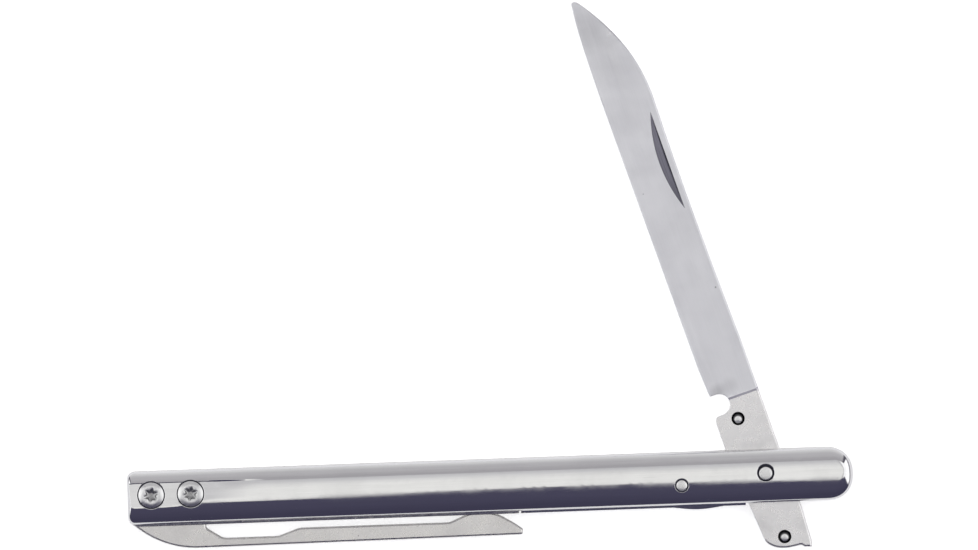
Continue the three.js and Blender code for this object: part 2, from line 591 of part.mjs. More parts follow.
// The clip's outline: the root between the liners, the heel, the tip, the bump that meets the handle and the neck.
function clipOutline() {
  const butt = BUTT - LINER_PROUD + SPACER_INSET;
  const top = -RIM - SPACER_INSET;
  const tip = butt + CLIP_LENGTH;
  const bottom = RIM - CLIP_DEPTH;
  const bump = tip - CLIP_BUMP_FROM_TIP;
  return rounded([
    [butt, top, BUTT_CORNER],
    [butt, RIM + CLIP_HEEL_START, CLIP_CORNER],
    [butt + CLIP_HEEL_FROM_BUTT, bottom - CLIP_DROP, CLIP_HEEL_ROUND],
    [tip, bottom, CLIP_CORNER],
    [tip, bottom + CLIP_TIP_HEIGHT, CLIP_CORNER],
    [tip - CLIP_BROW.back, RIM - CLIP_BROW.drop, CLIP_BROW.round],
    [bump, RIM + CLIP_BUMP_PEAK, CLIP_BUMP_ROUND],
    [bump - CLIP_BUMP_LEAD, RIM - CLIP_ARM_TOP, CLIP_BEND],
    [CLIP_ROOT + CLIP_NECK_RUN + CLIP_STEP, RIM - CLIP_ARM_TOP, CLIP_BEND],
    [CLIP_ROOT + CLIP_NECK_RUN, RIM - CLIP_NECK_TOP, CLIP_BEND],
    [CLIP_ROOT + CLIP_ROOT_SLOPE, RIM - CLIP_NECK_TOP, CLIP_BEND],
    [CLIP_ROOT, RIM - CLIP_ROOT_DROP, CLIP_CORNER],
    [CLIP_ROOT, top, 0],
  ]);
}

// The clip plate, as thick as the slot between the liners, with tumbled edges and the sleeves' bores.
function clipBody() {
  const body = new THREE.ExtrudeGeometry(clipOutline(), {
    depth: BLADE_SLOT - 2 * CLIP_ROUND,
    bevelThickness: CLIP_ROUND,
    bevelSize: CLIP_ROUND,
    bevelOffset: -CLIP_ROUND,
    bevelSegments: 2,
  });
  let clip = solid(body.translate(0, 0, CLIP_ROUND));
  for (const x of Object.values(SCREWS)) clip = bored(clip, { x, y: SCREW_Y }, SLEEVE_RADIUS + RUNNING);
  return clip;
}

// A steel ball at a place in the blade's frame.
function ball(name, { u, v }) {
  const sphere = new THREE.SphereGeometry(BALL_RADIUS, BALL_STEPS, BALL_STEPS / 2).rotateX(Math.PI / 2);
  return piece(name, solid(sphere), FINISHES.ball, u, v);
}

// The two pressings, the rear one mirrored so that its crown is down.
function shells() {
  const pressing = halfShell();
  const front = piece("front_shell", pressing, FINISHES.polished, 0, 0, FRONT_SHELL_Z);
  const rear = piece("rear_shell", pressing, FINISHES.polished, 0, 0, SHELL_HEIGHT);
  rear.scale.z = -1;
  return [front, rear];
}

// The two liners, and the lock arm in the front one's plane.
function liners() {
  const arm = plate(armOutline(0, 0), 0, LINER_THICKNESS);
  return [
    piece("front_liner", frontLinerBody(), FINISHES.satin, 0, 0, FRONT_LINER_Z),
    piece("rear_liner", linerBody(), FINISHES.satin, 0, 0, REAR_LINER_Z),
    piece("lock_arm", arm, FINISHES.spring, 0, 0, FRONT_LINER_Z),
  ];
}

// At each screw place a sleeve, and a screw from the front and from the rear.
function fasteners() {
  return Object.entries(SCREWS).flatMap(([place, x]) => {
    const sleeve = piece("sleeve_" + place, sleeveBody(), FINISHES.satin, x, SCREW_Y, MID_Z);
    const screw = screwBody();
    const front = piece("front_screw_" + place, screw, FINISHES.satin, x, SCREW_Y, FRONT_SHELL_Z + SEAT_FLOOR);
    const rear = piece("rear_screw_" + place, screw, FINISHES.satin, x, SCREW_Y, SHELL_HEIGHT - SEAT_FLOOR);
    rear.rotation.x = Math.PI;
    return [sleeve, front, rear];
  });
}

// Pivot pin, its washers on both sides of the blade, and the stop pin.
function pins() {
  const { x, y } = PIVOT;
  return [
    piece("pivot_pin", pivotBody(), FINISHES.satin, x, y, MID_Z),
    piece("pivot_washer_rear", washerBody(), FINISHES.bronze, x, y, SLOT_Z),
    piece("pivot_washer_front", washerBody(), FINISHES.bronze, x, y, FRONT_LINER_Z - WASHER_THICKNESS),
    piece("stop_pin", stopBody(), FINISHES.satin, STOP.x, STOP.y, MID_Z),
  ];
}

// Everything that swings about the pivot, turned to the rest angle.
function swinging() {
  const group = new THREE.Group();
  group.position.set(PIVOT.x, PIVOT.y, MID_Z);
  group.rotation.z = THREE.MathUtils.degToRad(REST_ANGLE);
  group.add(piece("blade", bladeBody(), FINISHES.brushed));
  group.add(ball("blade_detent_ball", TANG_BALL), ball("tail_detent_ball", TAIL_BALL));
  return group;
}

const knife = new THREE.Group();
knife.add(...shells(), ...liners(), ...fasteners(), ...pins(), swinging());
knife.add(piece("pocket_clip", clipBody(), FINISHES.satin, 0, 0, SLOT_Z));

export default knife;
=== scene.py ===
"""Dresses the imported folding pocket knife: its fine visible pieces, their finishes, the studio and the camera."""

import logging
import math
from dataclasses import dataclass, field
from enum import Enum
from typing import Callable, Sequence

import bmesh
import bpy
from mathutils import Matrix, Vector
from mathutils.bvhtree import BVHTree
from mathutils.geometry import delaunay_2d_cdt


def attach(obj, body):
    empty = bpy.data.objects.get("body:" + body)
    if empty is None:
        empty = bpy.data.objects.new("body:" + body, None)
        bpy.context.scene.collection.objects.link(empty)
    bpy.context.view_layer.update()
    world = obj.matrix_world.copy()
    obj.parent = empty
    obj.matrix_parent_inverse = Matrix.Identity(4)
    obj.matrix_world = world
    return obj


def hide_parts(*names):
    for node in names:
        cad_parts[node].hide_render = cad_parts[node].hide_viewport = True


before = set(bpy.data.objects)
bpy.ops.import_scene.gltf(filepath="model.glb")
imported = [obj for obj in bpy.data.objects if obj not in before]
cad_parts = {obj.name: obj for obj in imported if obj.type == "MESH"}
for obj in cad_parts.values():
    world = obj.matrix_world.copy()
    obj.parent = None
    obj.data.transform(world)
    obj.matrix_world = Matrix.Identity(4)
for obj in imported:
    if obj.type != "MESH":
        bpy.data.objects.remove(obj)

LOG = logging.getLogger("knife")
MM = 0.001

# The blade's angle to the handle, in degrees
REST_ANGLE, OPEN_ANGLE, CLOSED_ANGLE = 107.6, 1.1, 175.6

# How faces are made: distances in millimetres, the others as factors
WELDS_PER_MM = 5000
SLIVER = 0.001
EDGE_INSET = 0.025
LEAST_ROOM = 0.02
RING_ROOM = 0.9
SAMPLE_ROOM = 1.25
SMOOTH_CORNER = 0.82

Point = tuple[float, float]
Height = Callable[[float, float], float]
Color = tuple[float, float, float, float]
Triple = tuple[float, float, float]
Grid = tuple[float, ...]
Veil = tuple[float, float, Color]
Socket = bpy.types.NodeSocket
Piece = bpy.types.Object


class Grain(Enum):
    """How a steel surface was last worked."""

    POLISHED = "polished"
    BRUSHED = "brushed"
    TUMBLED = "tumbled"
    TURNED = "turned"


# Plane geometry


def polar(centre: Point, radius: float, bearing: float) -> Point:
    """The point at a radius and a bearing in degrees from a centre."""
    angle = math.radians(bearing)
    return centre[0] + radius * math.cos(angle), centre[1] + radius * math.sin(angle)


def circle(centre: Point, radius: float, steps: int) -> list[Point]:
    """A round loop, anticlockwise."""
    return [polar(centre, radius, 360 * i / steps) for i in range(steps)]


def lerp(a: float, b: float, share: float) -> float:
    """The value a share of the way from a to b."""
    return a + (b - a) * share


def smooth(low: float, high: float, value: float) -> float:
    """A soft step from 0 at low to 1 at high."""
    share = min(max((value - low) / (high - low), 0.0), 1.0)
    return share * share * (3 - 2 * share)


def soft_min(a: float, b: float, width: float) -> float:
    """The lower of two heights, rounded over a width where they cross."""
    share = min(max(0.5 + 0.5 * (b - a) / width, 0.0), 1.0)
    return lerp(b, a, share) - width * share * (1 - share)


def bezier(points: Sequence[Point], steps: int) -> list[Point]:
    """Points on a quadratic or cubic curve, without its first point.

    Args:
        points: ends and steering points.
        steps: how many points are made.

    Returns:
        The points.
    """
    made = []
    for i in range(1, steps + 1):
        level = list(points)
        while len(level) > 1:
            level = [(lerp(p[0], q[0], i / steps), lerp(p[1], q[1], i / steps)) for p, q in zip(level, level[1:])]
        made.append(level[0])
    return made


def rounded(corners: Sequence[Triple], turn_step: float = 3.0) -> list[Point]:
    """A loop through corners, each rounded by its own radius.

    Args:
        corners: x, y and radius of each corner.
        turn_step: degrees that one facet turns.

    Returns:
        The loop's points.
    """
    loop: list[Point] = []
    for i, (x, y, radius) in enumerate(corners):
        corner = Vector((x, y))
        if radius == 0:
            loop.append((x, y))
            continue
        back = (Vector(corners[i - 1][:2]) - corner).normalized()
        ahead = (Vector(corners[(i + 1) % len(corners)][:2]) - corner).normalized()
        half = back.angle(ahead) / 2
        centre = corner + (back + ahead).normalized() * (radius / math.sin(half))
        first = corner + back * (radius / math.tan(half)) - centre
        start = math.degrees(math.atan2(first.y, first.x))
        side = 1 if ahead.x * back.y - ahead.y * back.x > 0 else -1
        turn = 180 - math.degrees(2 * half)
        steps = max(2, math.ceil(turn / turn_step))
        loop += [polar(tuple(centre), radius, start + side * turn * s / steps) for s in range(steps + 1)]
    return loop


def divide(loop: Sequence[Point], longest: float = 0.9) -> list[Point]:
    """The same loop with no side longer than a length.

    Args:
        loop: the points.
        longest: the longest side, in millimetres.

    Returns:
        The loop with more points.
    """
    made: list[Point] = []
    for p, q in zip(loop, [*loop[1:], loop[0]]):
        parts = max(1, math.ceil(math.dist(p, q) / longest))
        made += [(lerp(p[0], q[0], i / parts), lerp(p[1], q[1], i / parts)) for i in range(parts)]
    return made


def area(loop: Sequence[Point]) -> float:
    """Signed area of a loop, positive when it runs anticlockwise."""
    return sum(p[0] * q[1] - q[0] * p[1] for p, q in zip(loop, [*loop[1:], loop[0]])) / 2


def rim_normals(line: Sequence[Point]) -> list[Vector]:
    """For each point of a line the direction to its right."""
    ends = [line[0], *line, line[-1]]
    return [Vector((c[1] - a[1], a[0] - c[0])).normalized() * -1 for a, c in zip(ends, ends[2:])]


def contains(loop: Sequence[Point], x: float, y: float) -> bool:
    """Whether a point lies inside a loop.

    Args:
        loop: the points.
        x: place along.
        y: place across.

    Returns:
        True inside.
    """
    within = False
    previous = loop[-1]
    for point in loop:
        if (point[1] > y) != (previous[1] > y):
            cross = (previous[0] - point[0]) * (y - point[1]) / (previous[1] - point[1]) + point[0]
            within ^= x < cross
        previous = point
    return within


def inside(loops: Sequence[Sequence[Point]]) -> Callable[[float, float], bool]:
    """A test for places within the first loop and in none of the others.

    Args:
        loops: the outline and the holes.

    Returns:
        The test.
    """
    boxes = []
    for loop in loops[1:]:
        across, up = zip(*loop)
        boxes.append((min(across), max(across), min(up), max(up)))

    def test(x: float, y: float) -> bool:
        """Whether a point lies in the material.

        Args:
            x: place along.
            y: place across.

        Returns:
            True in the outline and in no hole.
        """
        for (x0, x1, y0, y1), loop in zip(boxes, loops[1:]):
            if x0 < x < x1 and y0 < y < y1 and contains(loop, x, y):
                return False
        return contains(loops[0], x, y)

    return test


def nearness(loop: Sequence[Point], closed: bool = True) -> BVHTree:
    """A search tree over a line's sides, for the place on it that is nearest to a point.

    Args:
        loop: the points.
        closed: whether the last point joins the first.

    Returns:
        The tree.
    """
    ends = [*loop[1:], loop[0]] if closed else loop[1:]
    corners = [c for p, q in zip(loop, ends) for c in ((*p, 0), (*q, 0), (*q, SLIVER))]
    return BVHTree.FromPolygons(corners, [(i, i + 1, i + 2) for i in range(0, len(corners), 3)])


# Mesh making


def in_scene(name: str, data: bpy.types.ID) -> Piece:
    """A new object in the scene.

    Args:
        name: its name.
        data: its mesh, camera or lamp.

    Returns:
        The object.
    """
    obj = bpy.data.objects.new(name, data)
    bpy.context.scene.collection.objects.link(obj)
    return obj


@dataclass
class Rim:
    """A loop that bounds a face, and how its edge is broken."""

    loop: list[Point]
    radius: float | Height = 0.1
    steps: int = 4
    hole: bool = False
    sharp: Callable[[float, float], bool] = lambda x, y: False

    def __post_init__(self) -> None:
        """Turns the loop so that material lies on its left, and divides its long sides."""
        if not self.hole and self.radius != 0.0:
            self.loop = divide(self.loop)
        if (area(self.loop) < 0) != self.hole:
            self.loop = list(reversed(self.loop))

    def breaks(self, x: float, y: float) -> float:
        """The edge's radius at a point of the loop, none where the edge is sharp.

        Args:
            x: place along.
            y: place across.

        Returns:
            The radius.
        """
        if self.sharp(x, y):
            return 0.0
        return self.radius(x, y) if callable(self.radius) else self.radius

    def outward(self) -> list[Vector]:
        """For each point the direction out of the material.

        Returns:
            One unit vector for each point.
        """
        count = len(self.loop)
        result = []
        for i, point in enumerate(self.loop):
            before, after = self.loop[i - 1], self.loop[(i + 1) % count]
            a = Vector((point[1] - before[1], before[0] - point[0])).normalized()
            b = Vector((after[1] - point[1], point[0] - after[0])).normalized()
            result.append((a + b).normalized())
        return result


def plain(loop: list[Point], hole: bool = False) -> Rim:
    """A rim whose edge stays sharp all round."""
    return Rim(loop, 0.0, 1, hole, lambda x, y: True)


@dataclass
class Face:
    """One side of a plate: points, their normals and the triangles between them."""

    points: list[Vector] = field(default_factory=list)
    normals: list[Vector] = field(default_factory=list)
    triangles: list[tuple[int, int, int]] = field(default_factory=list)

    def under(self) -> "Face":
        """The same face upside down, as the underside of a plate.

        Returns:
            The turned face.
        """
        flip = [Vector((n.x, n.y, -n.z)) for n in self.normals]
        points = [Vector((p.x, p.y, -p.z)) for p in self.points]
        return Face(points, flip, [t[::-1] for t in self.triangles])

    def border(self) -> list[tuple[int, int]]:
        """The directed edges that only one triangle uses."""
        used = {(t[i], t[(i + 1) % 3]) for t in self.triangles for i in range(3)}
        return [(a, b) for a, b in used if (b, a) not in used]


def slope_normal(height: Height, x: float, y: float, step: float = 0.01) -> Vector:
    """The normal of a height surface, from its slopes.

    Args:
        height: the surface.
        x: place along.
        y: place across.
        step: half the length that a slope is taken over.

    Returns:
        The unit normal.
    """
    dx = (height(x + step, y) - height(x - step, y)) / (2 * step)
    dy = (height(x, y + step) - height(x, y - step)) / (2 * step)
    return Vector((-dx, -dy, 1)).normalized()


def face_of(rims: Sequence[Rim], samples: Sequence[Point], height: Height, lines: Sequence[list[Point]] = ()) -> Face:
    """Triangulates the area between rims and raises it to a height surface with broken edges.

    Args:
        rims: the outline first, then the holes.
        samples: inner points that carry the surface's form.
        height: the surface before its edges are broken.
        lines: inner lines that triangles keep as edges.

    Returns:
        The raised face, seen from above.
    """
    coords: list[Point] = []
    raised: list[tuple[float, Vector]] = []
    edges: list[tuple[int, int]] = []
    loops = [rim.loop for rim in rims]
    near = [nearness(loop) for loop in loops]
    within = inside(loops)

    def room(x: float, y: float) -> float:
        """How far a place is from the nearest rim."""
        return min(tree.find_nearest((x, y, 0))[3] for tree in near)

    def broken(x: float, y: float, out: Vector, radius: float, lean: float) -> tuple[float, Vector]:
        """Height and normal on a broken edge, where it leans by an angle from upright.

        Args:
            x: place along.
            y: place across.
            out: direction out of the material.
            radius: the edge's radius.
            lean: the angle, a right angle at the edge's inner end.

        Returns:
            The height and the normal.
        """
        up = slope_normal(height, x - EDGE_INSET * out.x, y - EDGE_INSET * out.y)
        if radius == 0:
            return height(x, y), up
        normal = up * math.sin(lean) + Vector((out.x, out.y, 0)) * math.cos(lean)
        return height(x, y) - radius * (1 - math.sin(lean)), normal.normalized()

    for rim in rims:
        outward = rim.outward()
        for ring in range(rim.steps + 1):
            lean = math.pi / 2 * ring / rim.steps
            numbers: list[int | None] = []
            for (x, y), out in zip(rim.loop, outward):
                radius = rim.breaks(x, y)
                inset = radius * (1 - math.cos(lean))
                px, py = x - out.x * inset, y - out.y * inset
                dropped = radius == 0 or room(px, py) < RING_ROOM * inset
                if ring and dropped:
                    numbers.append(None)
                    continue
                numbers.append(len(coords))
                coords.append((px, py))
                raised.append(broken(px, py, out, radius, lean))
            pairs = zip(numbers, [*numbers[1:], numbers[0]])
            edges += [(a, b) for a, b in pairs if a is not None and b is not None]
    for line in lines:
        numbers = []
        for x, y in line:
            kept = within(x, y) and room(x, y) > LEAST_ROOM
            numbers.append(len(coords) if kept else None)
            if kept:
                coords.append((x, y))
                raised.append((height(x, y), slope_normal(height, x, y)))
        edges += [(a, b) for a, b in zip(numbers, numbers[1:]) if a is not None and b is not None]
    for x, y in samples:
        if not within(x, y):
            continue
        least = (max(LEAST_ROOM, SAMPLE_ROOM * rim.breaks(x, y)) for rim in rims)
        if any(tree.find_nearest((x, y, 0))[3] < gap for gap, tree in zip(least, near)):
            continue
        coords.append((x, y))
        raised.append((height(x, y), slope_normal(height, x, y)))
    points, _, triangles, origins, _, _ = delaunay_2d_cdt([Vector(c) for c in coords], edges, [], 0, 1e-6)
    face = Face()
    for point, origin in zip(points, origins):
        if origin:
            z, normal = raised[origin[0]]
        else:
            found = ((rim, tree.find_nearest((point.x, point.y, 0))) for rim, tree in zip(rims, near))
            rim, (place, _, _, away) = min(found, key=lambda pair: pair[1][3])
            radius = rim.breaks(place.x, place.y)
            lean = math.acos(1 - min(away / radius, 1.0)) if radius else 0.0
            out = Vector((place.x - point.x, place.y - point.y)).normalized()
            z, normal = broken(point.x, point.y, out, radius, lean)
        face.points.append(Vector((point.x, point.y, z)))
        face.normals.append(normal)
    for a, b, c in triangles:
        pa, pb, pc = points[a], points[b], points[c]
        if not within((pa.x + pb.x + pc.x) / 3, (pa.y + pb.y + pc.y) / 3):
            continue
        turn = (pb.x - pa.x) * (pc.y - pa.y) - (pb.y - pa.y) * (pc.x - pa.x)
        face.triangles.append((a, b, c) if turn > 0 else (a, c, b))
    return face


@dataclass
class Solid:
    """Faces with a normal for each corner, in millimetres, until they are made an object."""

    points: list[Vector] = field(default_factory=list)
    faces: list[tuple[int, ...]] = field(default_factory=list)
    normals: list[list[Vector]] = field(default_factory=list)
    slots: list[int] = field(default_factory=list)
    known: dict[tuple[int, int, int], int] = field(default_factory=dict)

    def index(self, point: Vector) -> int:
        """The number of a point, the same for points in one place.

        Args:
            point: the place.

        Returns:
            The number.
        """
        key = tuple(round(v * WELDS_PER_MM) for v in point)
        if key not in self.known:
            self.known[key] = len(self.points)
            self.points.append(point)
        return self.known[key]

    def add(self, corners: Sequence[Vector], normals: Sequence[Vector], slot: int = 0) -> None:
        """Adds one face, unless its corners fall together.

        Args:
            corners: its corners, anticlockwise from outside.
            normals: the normal at each corner.
            slot: the material slot.
        """
        face, kept = [], []
        for corner, normal in zip(corners, normals):
            number = self.index(corner)
            if number not in face:
                face.append(number)
                kept.append(normal)
        if len(face) > 2:
            self.faces.append(tuple(face))
            self.normals.append(kept)
            self.slots.append(slot)

    def add_face(self, face: Face, slot: Callable[[float, float], int] = lambda x, y: 0) -> None:
        """Adds a triangulated face, with a material slot for each place.

        Args:
            face: the triangles.
            slot: the material slot for each place.
        """
        for t in face.triangles:
            x, y = (sum(face.points[i][k] for i in t) / 3 for k in (0, 1))
            self.add([face.points[i] for i in t], [face.normals[i] for i in t], slot(x, y))

    def add_band(self, rings: Sequence[Sequence[Vector]], normals: Sequence[Sequence[Vector]], slot: int = 0) -> None:
        """Adds the bands between closed rings of equal length.

        Args:
            rings: the rings' points.
            normals: a normal for each of them.
            slot: the material slot.
        """
        for r in range(len(rings) - 1):
            for i in range(len(rings[r])):
                j = (i + 1) % len(rings[r])
                corners = [(r, i), (r, j), (r + 1, j), (r + 1, i)]
                self.add([rings[a][b] for a, b in corners], [normals[a][b] for a, b in corners], slot)

    def add_walls(self, top: Face, bottom: Face, slot: Callable[[float, float], int] = lambda x, y: 0) -> None:
        """Joins the borders of two faces by upright walls.

        Args:
            top: the upper face.
            bottom: the lower face, with the same outline.
            slot: the material slot for each place.
        """
        key = lambda p: (round(p.x, 4), round(p.y, 4))
        lower = {key(bottom.points[i]): bottom.points[i] for edge in bottom.border() for i in edge}
        straight = {}
        for a, b in top.border():
            run = top.points[b] - top.points[a]
            straight[(a, b)] = Vector((run.y, -run.x, 0)).normalized()
        into = {b: normal for (a, b), normal in straight.items()}
        out_of = {a: normal for (a, b), normal in straight.items()}
        for (a, b), own in straight.items():
            ends = []
            for i in (a, b):
                both = into.get(i, own) + out_of.get(i, own)
                soft = into.get(i, own).dot(out_of.get(i, own)) > SMOOTH_CORNER
                ends.append(both.normalized() if soft else own)
            pa, pb = top.points[a], top.points[b]
            corners = [pa, lower[key(pa)], lower[key(pb)], pb]
            self.add(corners, [ends[0], ends[0], ends[1], ends[1]], slot(pa.x, pa.y))

    def build(self, name: str, matrix: Matrix = Matrix.Identity(4), crease: float | None = None) -> Piece:
        """Makes the object, at the origin, with its place in its mesh.

        Args:
            name: the piece's name.
            matrix: where it goes, in millimetres.
            crease: degrees past which an edge stays sharp, in place of the solid's own normals.

        Returns:
            The new object.
        """
        turn = matrix.to_3x3()
        order = -1 if turn.determinant() < 0 else 1
        mesh = bpy.data.meshes.new(name)
        mesh.from_pydata([(matrix @ p) * MM for p in self.points], [], [f[::order] for f in self.faces])
        mesh.polygons.foreach_set("use_smooth", [True] * len(self.faces))
        mesh.polygons.foreach_set("material_index", self.slots)
        if crease is None:
            normals = [(turn @ n).normalized() for kept in self.normals for n in kept[::order]]
            mesh.normals_split_custom_set(normals)
        else:
            mesh.set_sharp_from_angle(angle=math.radians(crease))
        return in_scene(name, mesh)


def plate(rims: Sequence[Rim], samples: Sequence[Point], top: Height) -> Solid:
    """A plate with a flat underside at z = 0 and broken edges on both faces.

    Args:
        rims: the outline and the holes.
        samples: inner points of both faces.
        top: height of the upper face.

    Returns:
        The closed solid.
    """
    solid = Solid()
    upper = face_of(rims, samples, top)
    lower = face_of(rims, samples, lambda x, y: 0.0).under()
    solid.add_face(upper)
    solid.add_face(lower)
    solid.add_walls(upper, lower)
    return solid


def lattice(x0: float, x1: float, y0: float, y1: float, dx: float, dy: float) -> list[Point]:
    """Points on a staggered grid between two corners, dx and dy apart.

    Args:
        x0: left side.
        x1: right side.
        y0: lower side.
        y1: upper side.
        dx: step along.
        dy: step across.

    Returns:
        The points, row by row.
    """
    across = max(1, round((x1 - x0) / dx))
    up = max(1, round((y1 - y0) / dy))
    return [
        (lerp(x0, x1, (i + 0.5 * (j % 2)) / across), lerp(y0, y1, j / up))
        for j in range(up + 1)
        for i in range(across + 1 - j % 2)
    ]


def turned(profile: Sequence[Point], steps: int = 64, shape: Callable[[int, float], float] | None = None) -> Solid:
    """A body of revolution.

    Args:
        profile: radius and height pairs, from the axis below, outside, to the axis above.
        steps: facets round the axis.
        shape: factor on the radius of a profile point, by its number and the bearing in degrees.

    Returns:
        The closed solid.
    """
    rings = []
    for k, (radius, z) in enumerate(profile):
        ring = []
        for i in range(steps):
            bearing = 360 * i / steps
            x, y = polar((0, 0), radius * (shape(k, bearing) if shape else 1), bearing)
            ring.append(Vector((x, y, z)))
        rings.append(ring)
    solid = Solid()
    solid.add_band(rings, [[Vector((0, 0, 1))] * steps] * len(rings))
    return solid


def quarter(radius: float, z: float, size: float, steps: int = 6) -> list[Point]:
    """Profile points of an edge rounded by a size, upwards."""
    angles = [math.pi / 2 * i / steps for i in range(steps + 1)]
    return [(radius - size * (1 - math.cos(a)), z - size * (1 - math.sin(a))) for a in angles]


def settle(obj: Piece) -> None:
    """Turns a piece's modifiers into plain mesh.

    Args:
        obj: the piece.
    """
    depsgraph = bpy.context.evaluated_depsgraph_get()
    mesh = bpy.data.meshes.new_from_object(obj.evaluated_get(depsgraph), depsgraph=depsgraph)
    obj.modifiers.clear()
    old = obj.data
    obj.data = mesh
    bpy.data.meshes.remove(old)
    mesh.name = obj.name


# Shader groups


class Tree:
    """Short calls for building a node tree."""

    def __init__(self, tree: bpy.types.NodeTree) -> None:
        """Keeps the tree that the calls add to."""
        self.tree = tree

    def add(self, kind: str, **values: object) -> bpy.types.Node:
        """Adds a node and sets its properties.

        Args:
            kind: the node's type.
            values: its properties.

        Returns:
            The node.
        """
        node = self.tree.nodes.new(kind)
        for key, value in values.items():
            setattr(node, key, value)
        return node

    def link(self, source: Socket, target: Socket) -> None:
        """Joins two sockets."""
        self.tree.links.new(source, target)

    def feed(self, value: object, target: Socket) -> None:
        """Gives a socket a link or a plain value.

        Args:
            value: a socket or a value.
            target: the socket that gets it.
        """
        if isinstance(value, Socket):
            self.link(value, target)
        else:
            target.default_value = value

    def math(self, operation: str, *values: object, clamp: bool = False) -> Socket:
        """One step of arithmetic.

        Args:
            operation: what is done.
            values: what it is done to.
            clamp: keeps the result in 0 to 1.

        Returns:
            The result.
        """
        node = self.add("ShaderNodeMath", operation=operation, use_clamp=clamp)
        for value, target in zip(values, node.inputs):
            self.feed(value, target)
        return node.outputs[0]

    def ramp(self, value: object, low: object, high: object, start: float = 0.0, end: float = 1.0) -> Socket:
        """A soft step of a value.

        Args:
            value: what is read.
            low: where the step starts.
            high: where it ends.
            start: the result up to low.
            end: the result from high on.

        Returns:
            The result.
        """
        node = self.add("ShaderNodeMapRange", interpolation_type="SMOOTHSTEP", clamp=True)
        for item, target in zip((value, low, high, start, end), node.inputs):
            self.feed(item, target)
        return node.outputs[0]

    def mix(self, share: object, a: object, b: object) -> Socket:
        """A colour between two.

        Args:
            share: how much of b.
            a: the first colour.
            b: the second colour.

        Returns:
            The colour.
        """
        node = self.add("ShaderNodeMix", data_type="RGBA")
        for value, target in zip((share, a, b), (node.inputs[0], node.inputs[6], node.inputs[7])):
            self.feed(value, target)
        return node.outputs[2]

    def noise(self, vector: object, scale: object, detail: float = 3.0, rough: float = 0.5) -> Socket:
        """A noise value round one half.

        Args:
            vector: the coordinates.
            scale: cells to a metre.
            detail: finer layers.
            rough: how strong those are.

        Returns:
            The value.
        """
        node = self.add("ShaderNodeTexNoise")
        self.feed(vector, node.inputs["Vector"])
        self.feed(scale, node.inputs["Scale"])
        node.inputs["Detail"].default_value = detail
        node.inputs["Roughness"].default_value = rough
        return node.outputs["Fac"]

    def stretched(self, vector: object, angle: object, along: object, across: object) -> Socket:
        """Coordinates turned about Z and squeezed, so that a noise on them runs along the angle.

        Args:
            vector: the coordinates.
            angle: the direction in degrees.
            along: factor along it.
            across: factor across it.

        Returns:
            The new coordinates.
        """
        turn = self.add("ShaderNodeVectorRotate", rotation_type="Z_AXIS")
        self.feed(vector, turn.inputs["Vector"])
        self.feed(self.math("MULTIPLY", angle, -math.pi / 180), turn.inputs["Angle"])
        parts = self.add("ShaderNodeSeparateXYZ")
        self.link(turn.outputs[0], parts.inputs[0])
        joined = self.add("ShaderNodeCombineXYZ")
        self.link(self.math("MULTIPLY", parts.outputs[0], along), joined.inputs[0])
        self.link(self.math("MULTIPLY", parts.outputs[1], across), joined.inputs[1])
        self.link(self.math("MULTIPLY", parts.outputs[2], across), joined.inputs[2])
        return joined.outputs[0]


def new_group(name: str, inputs: dict[str, tuple[str, object]], outputs: dict[str, str]) -> tuple[Tree, dict, dict]:
    """Starts a shader node group.

    Args:
        name: the group's name.
        inputs: socket type and default for each input.
        outputs: socket type for each output.

    Returns:
        The tree, its inputs and its output sockets, by name.
    """
    group = bpy.data.node_groups.new(name, "ShaderNodeTree")
    for label, (kind, default) in inputs.items():
        made = group.interface.new_socket(label, in_out="INPUT", socket_type=kind)
        if default is not None:
            made.default_value = default
    for label, kind in outputs.items():
        group.interface.new_socket(label, in_out="OUTPUT", socket_type=kind)
    tree = Tree(group)
    source = tree.add("NodeGroupInput")
    target = tree.add("NodeGroupOutput")
    return tree, {s.name: s for s in source.outputs}, {s.name: s for s in target.inputs}


FLOAT, VECTOR = "NodeSocketFloat", "NodeSocketVector"

# Cells to a metre of the noises, and how the hair scratches turn, with their cells
LINE_CELLS, BAND_CELLS, FINE_CELLS, WIDE_CELLS = 9000.0, 1400.0, 5200.0, 900.0
PATCH_CELLS = 220.0
HAIR_SETS = ((-1.0, 2600.0), (0.15, 3400.0), (1.0, 2100.0))
HAIR_LEVEL, HAIR_SOFTNESS = 0.78, 0.12


def grain_group() -> bpy.types.NodeTree:
    """Fine parallel brushing: lines of several widths along one direction.

    Returns:
        The group.
    """
    inputs = {"Vector": (VECTOR, None), "Angle": (FLOAT, 0.0), "Fineness": (FLOAT, 1.0)}
    tree, source, target = new_group("brushed grain", inputs, {"Lines": FLOAT, "Bands": FLOAT})
    fine = tree.stretched(source["Vector"], source["Angle"], along=0.012, across=1.0)
    scale = tree.math("MULTIPLY", source["Fineness"], LINE_CELLS)
    lines = tree.noise(fine, scale, detail=2.0)
    tree.link(tree.ramp(lines, low=0.25, high=0.75), target["Lines"])
    wide = tree.stretched(source["Vector"], source["Angle"], along=0.03, across=1.0)
    bands = tree.noise(wide, tree.math("MULTIPLY", source["Fineness"], BAND_CELLS))
    tree.link(tree.ramp(bands, low=0.3, high=0.7), target["Bands"])
    return tree.tree


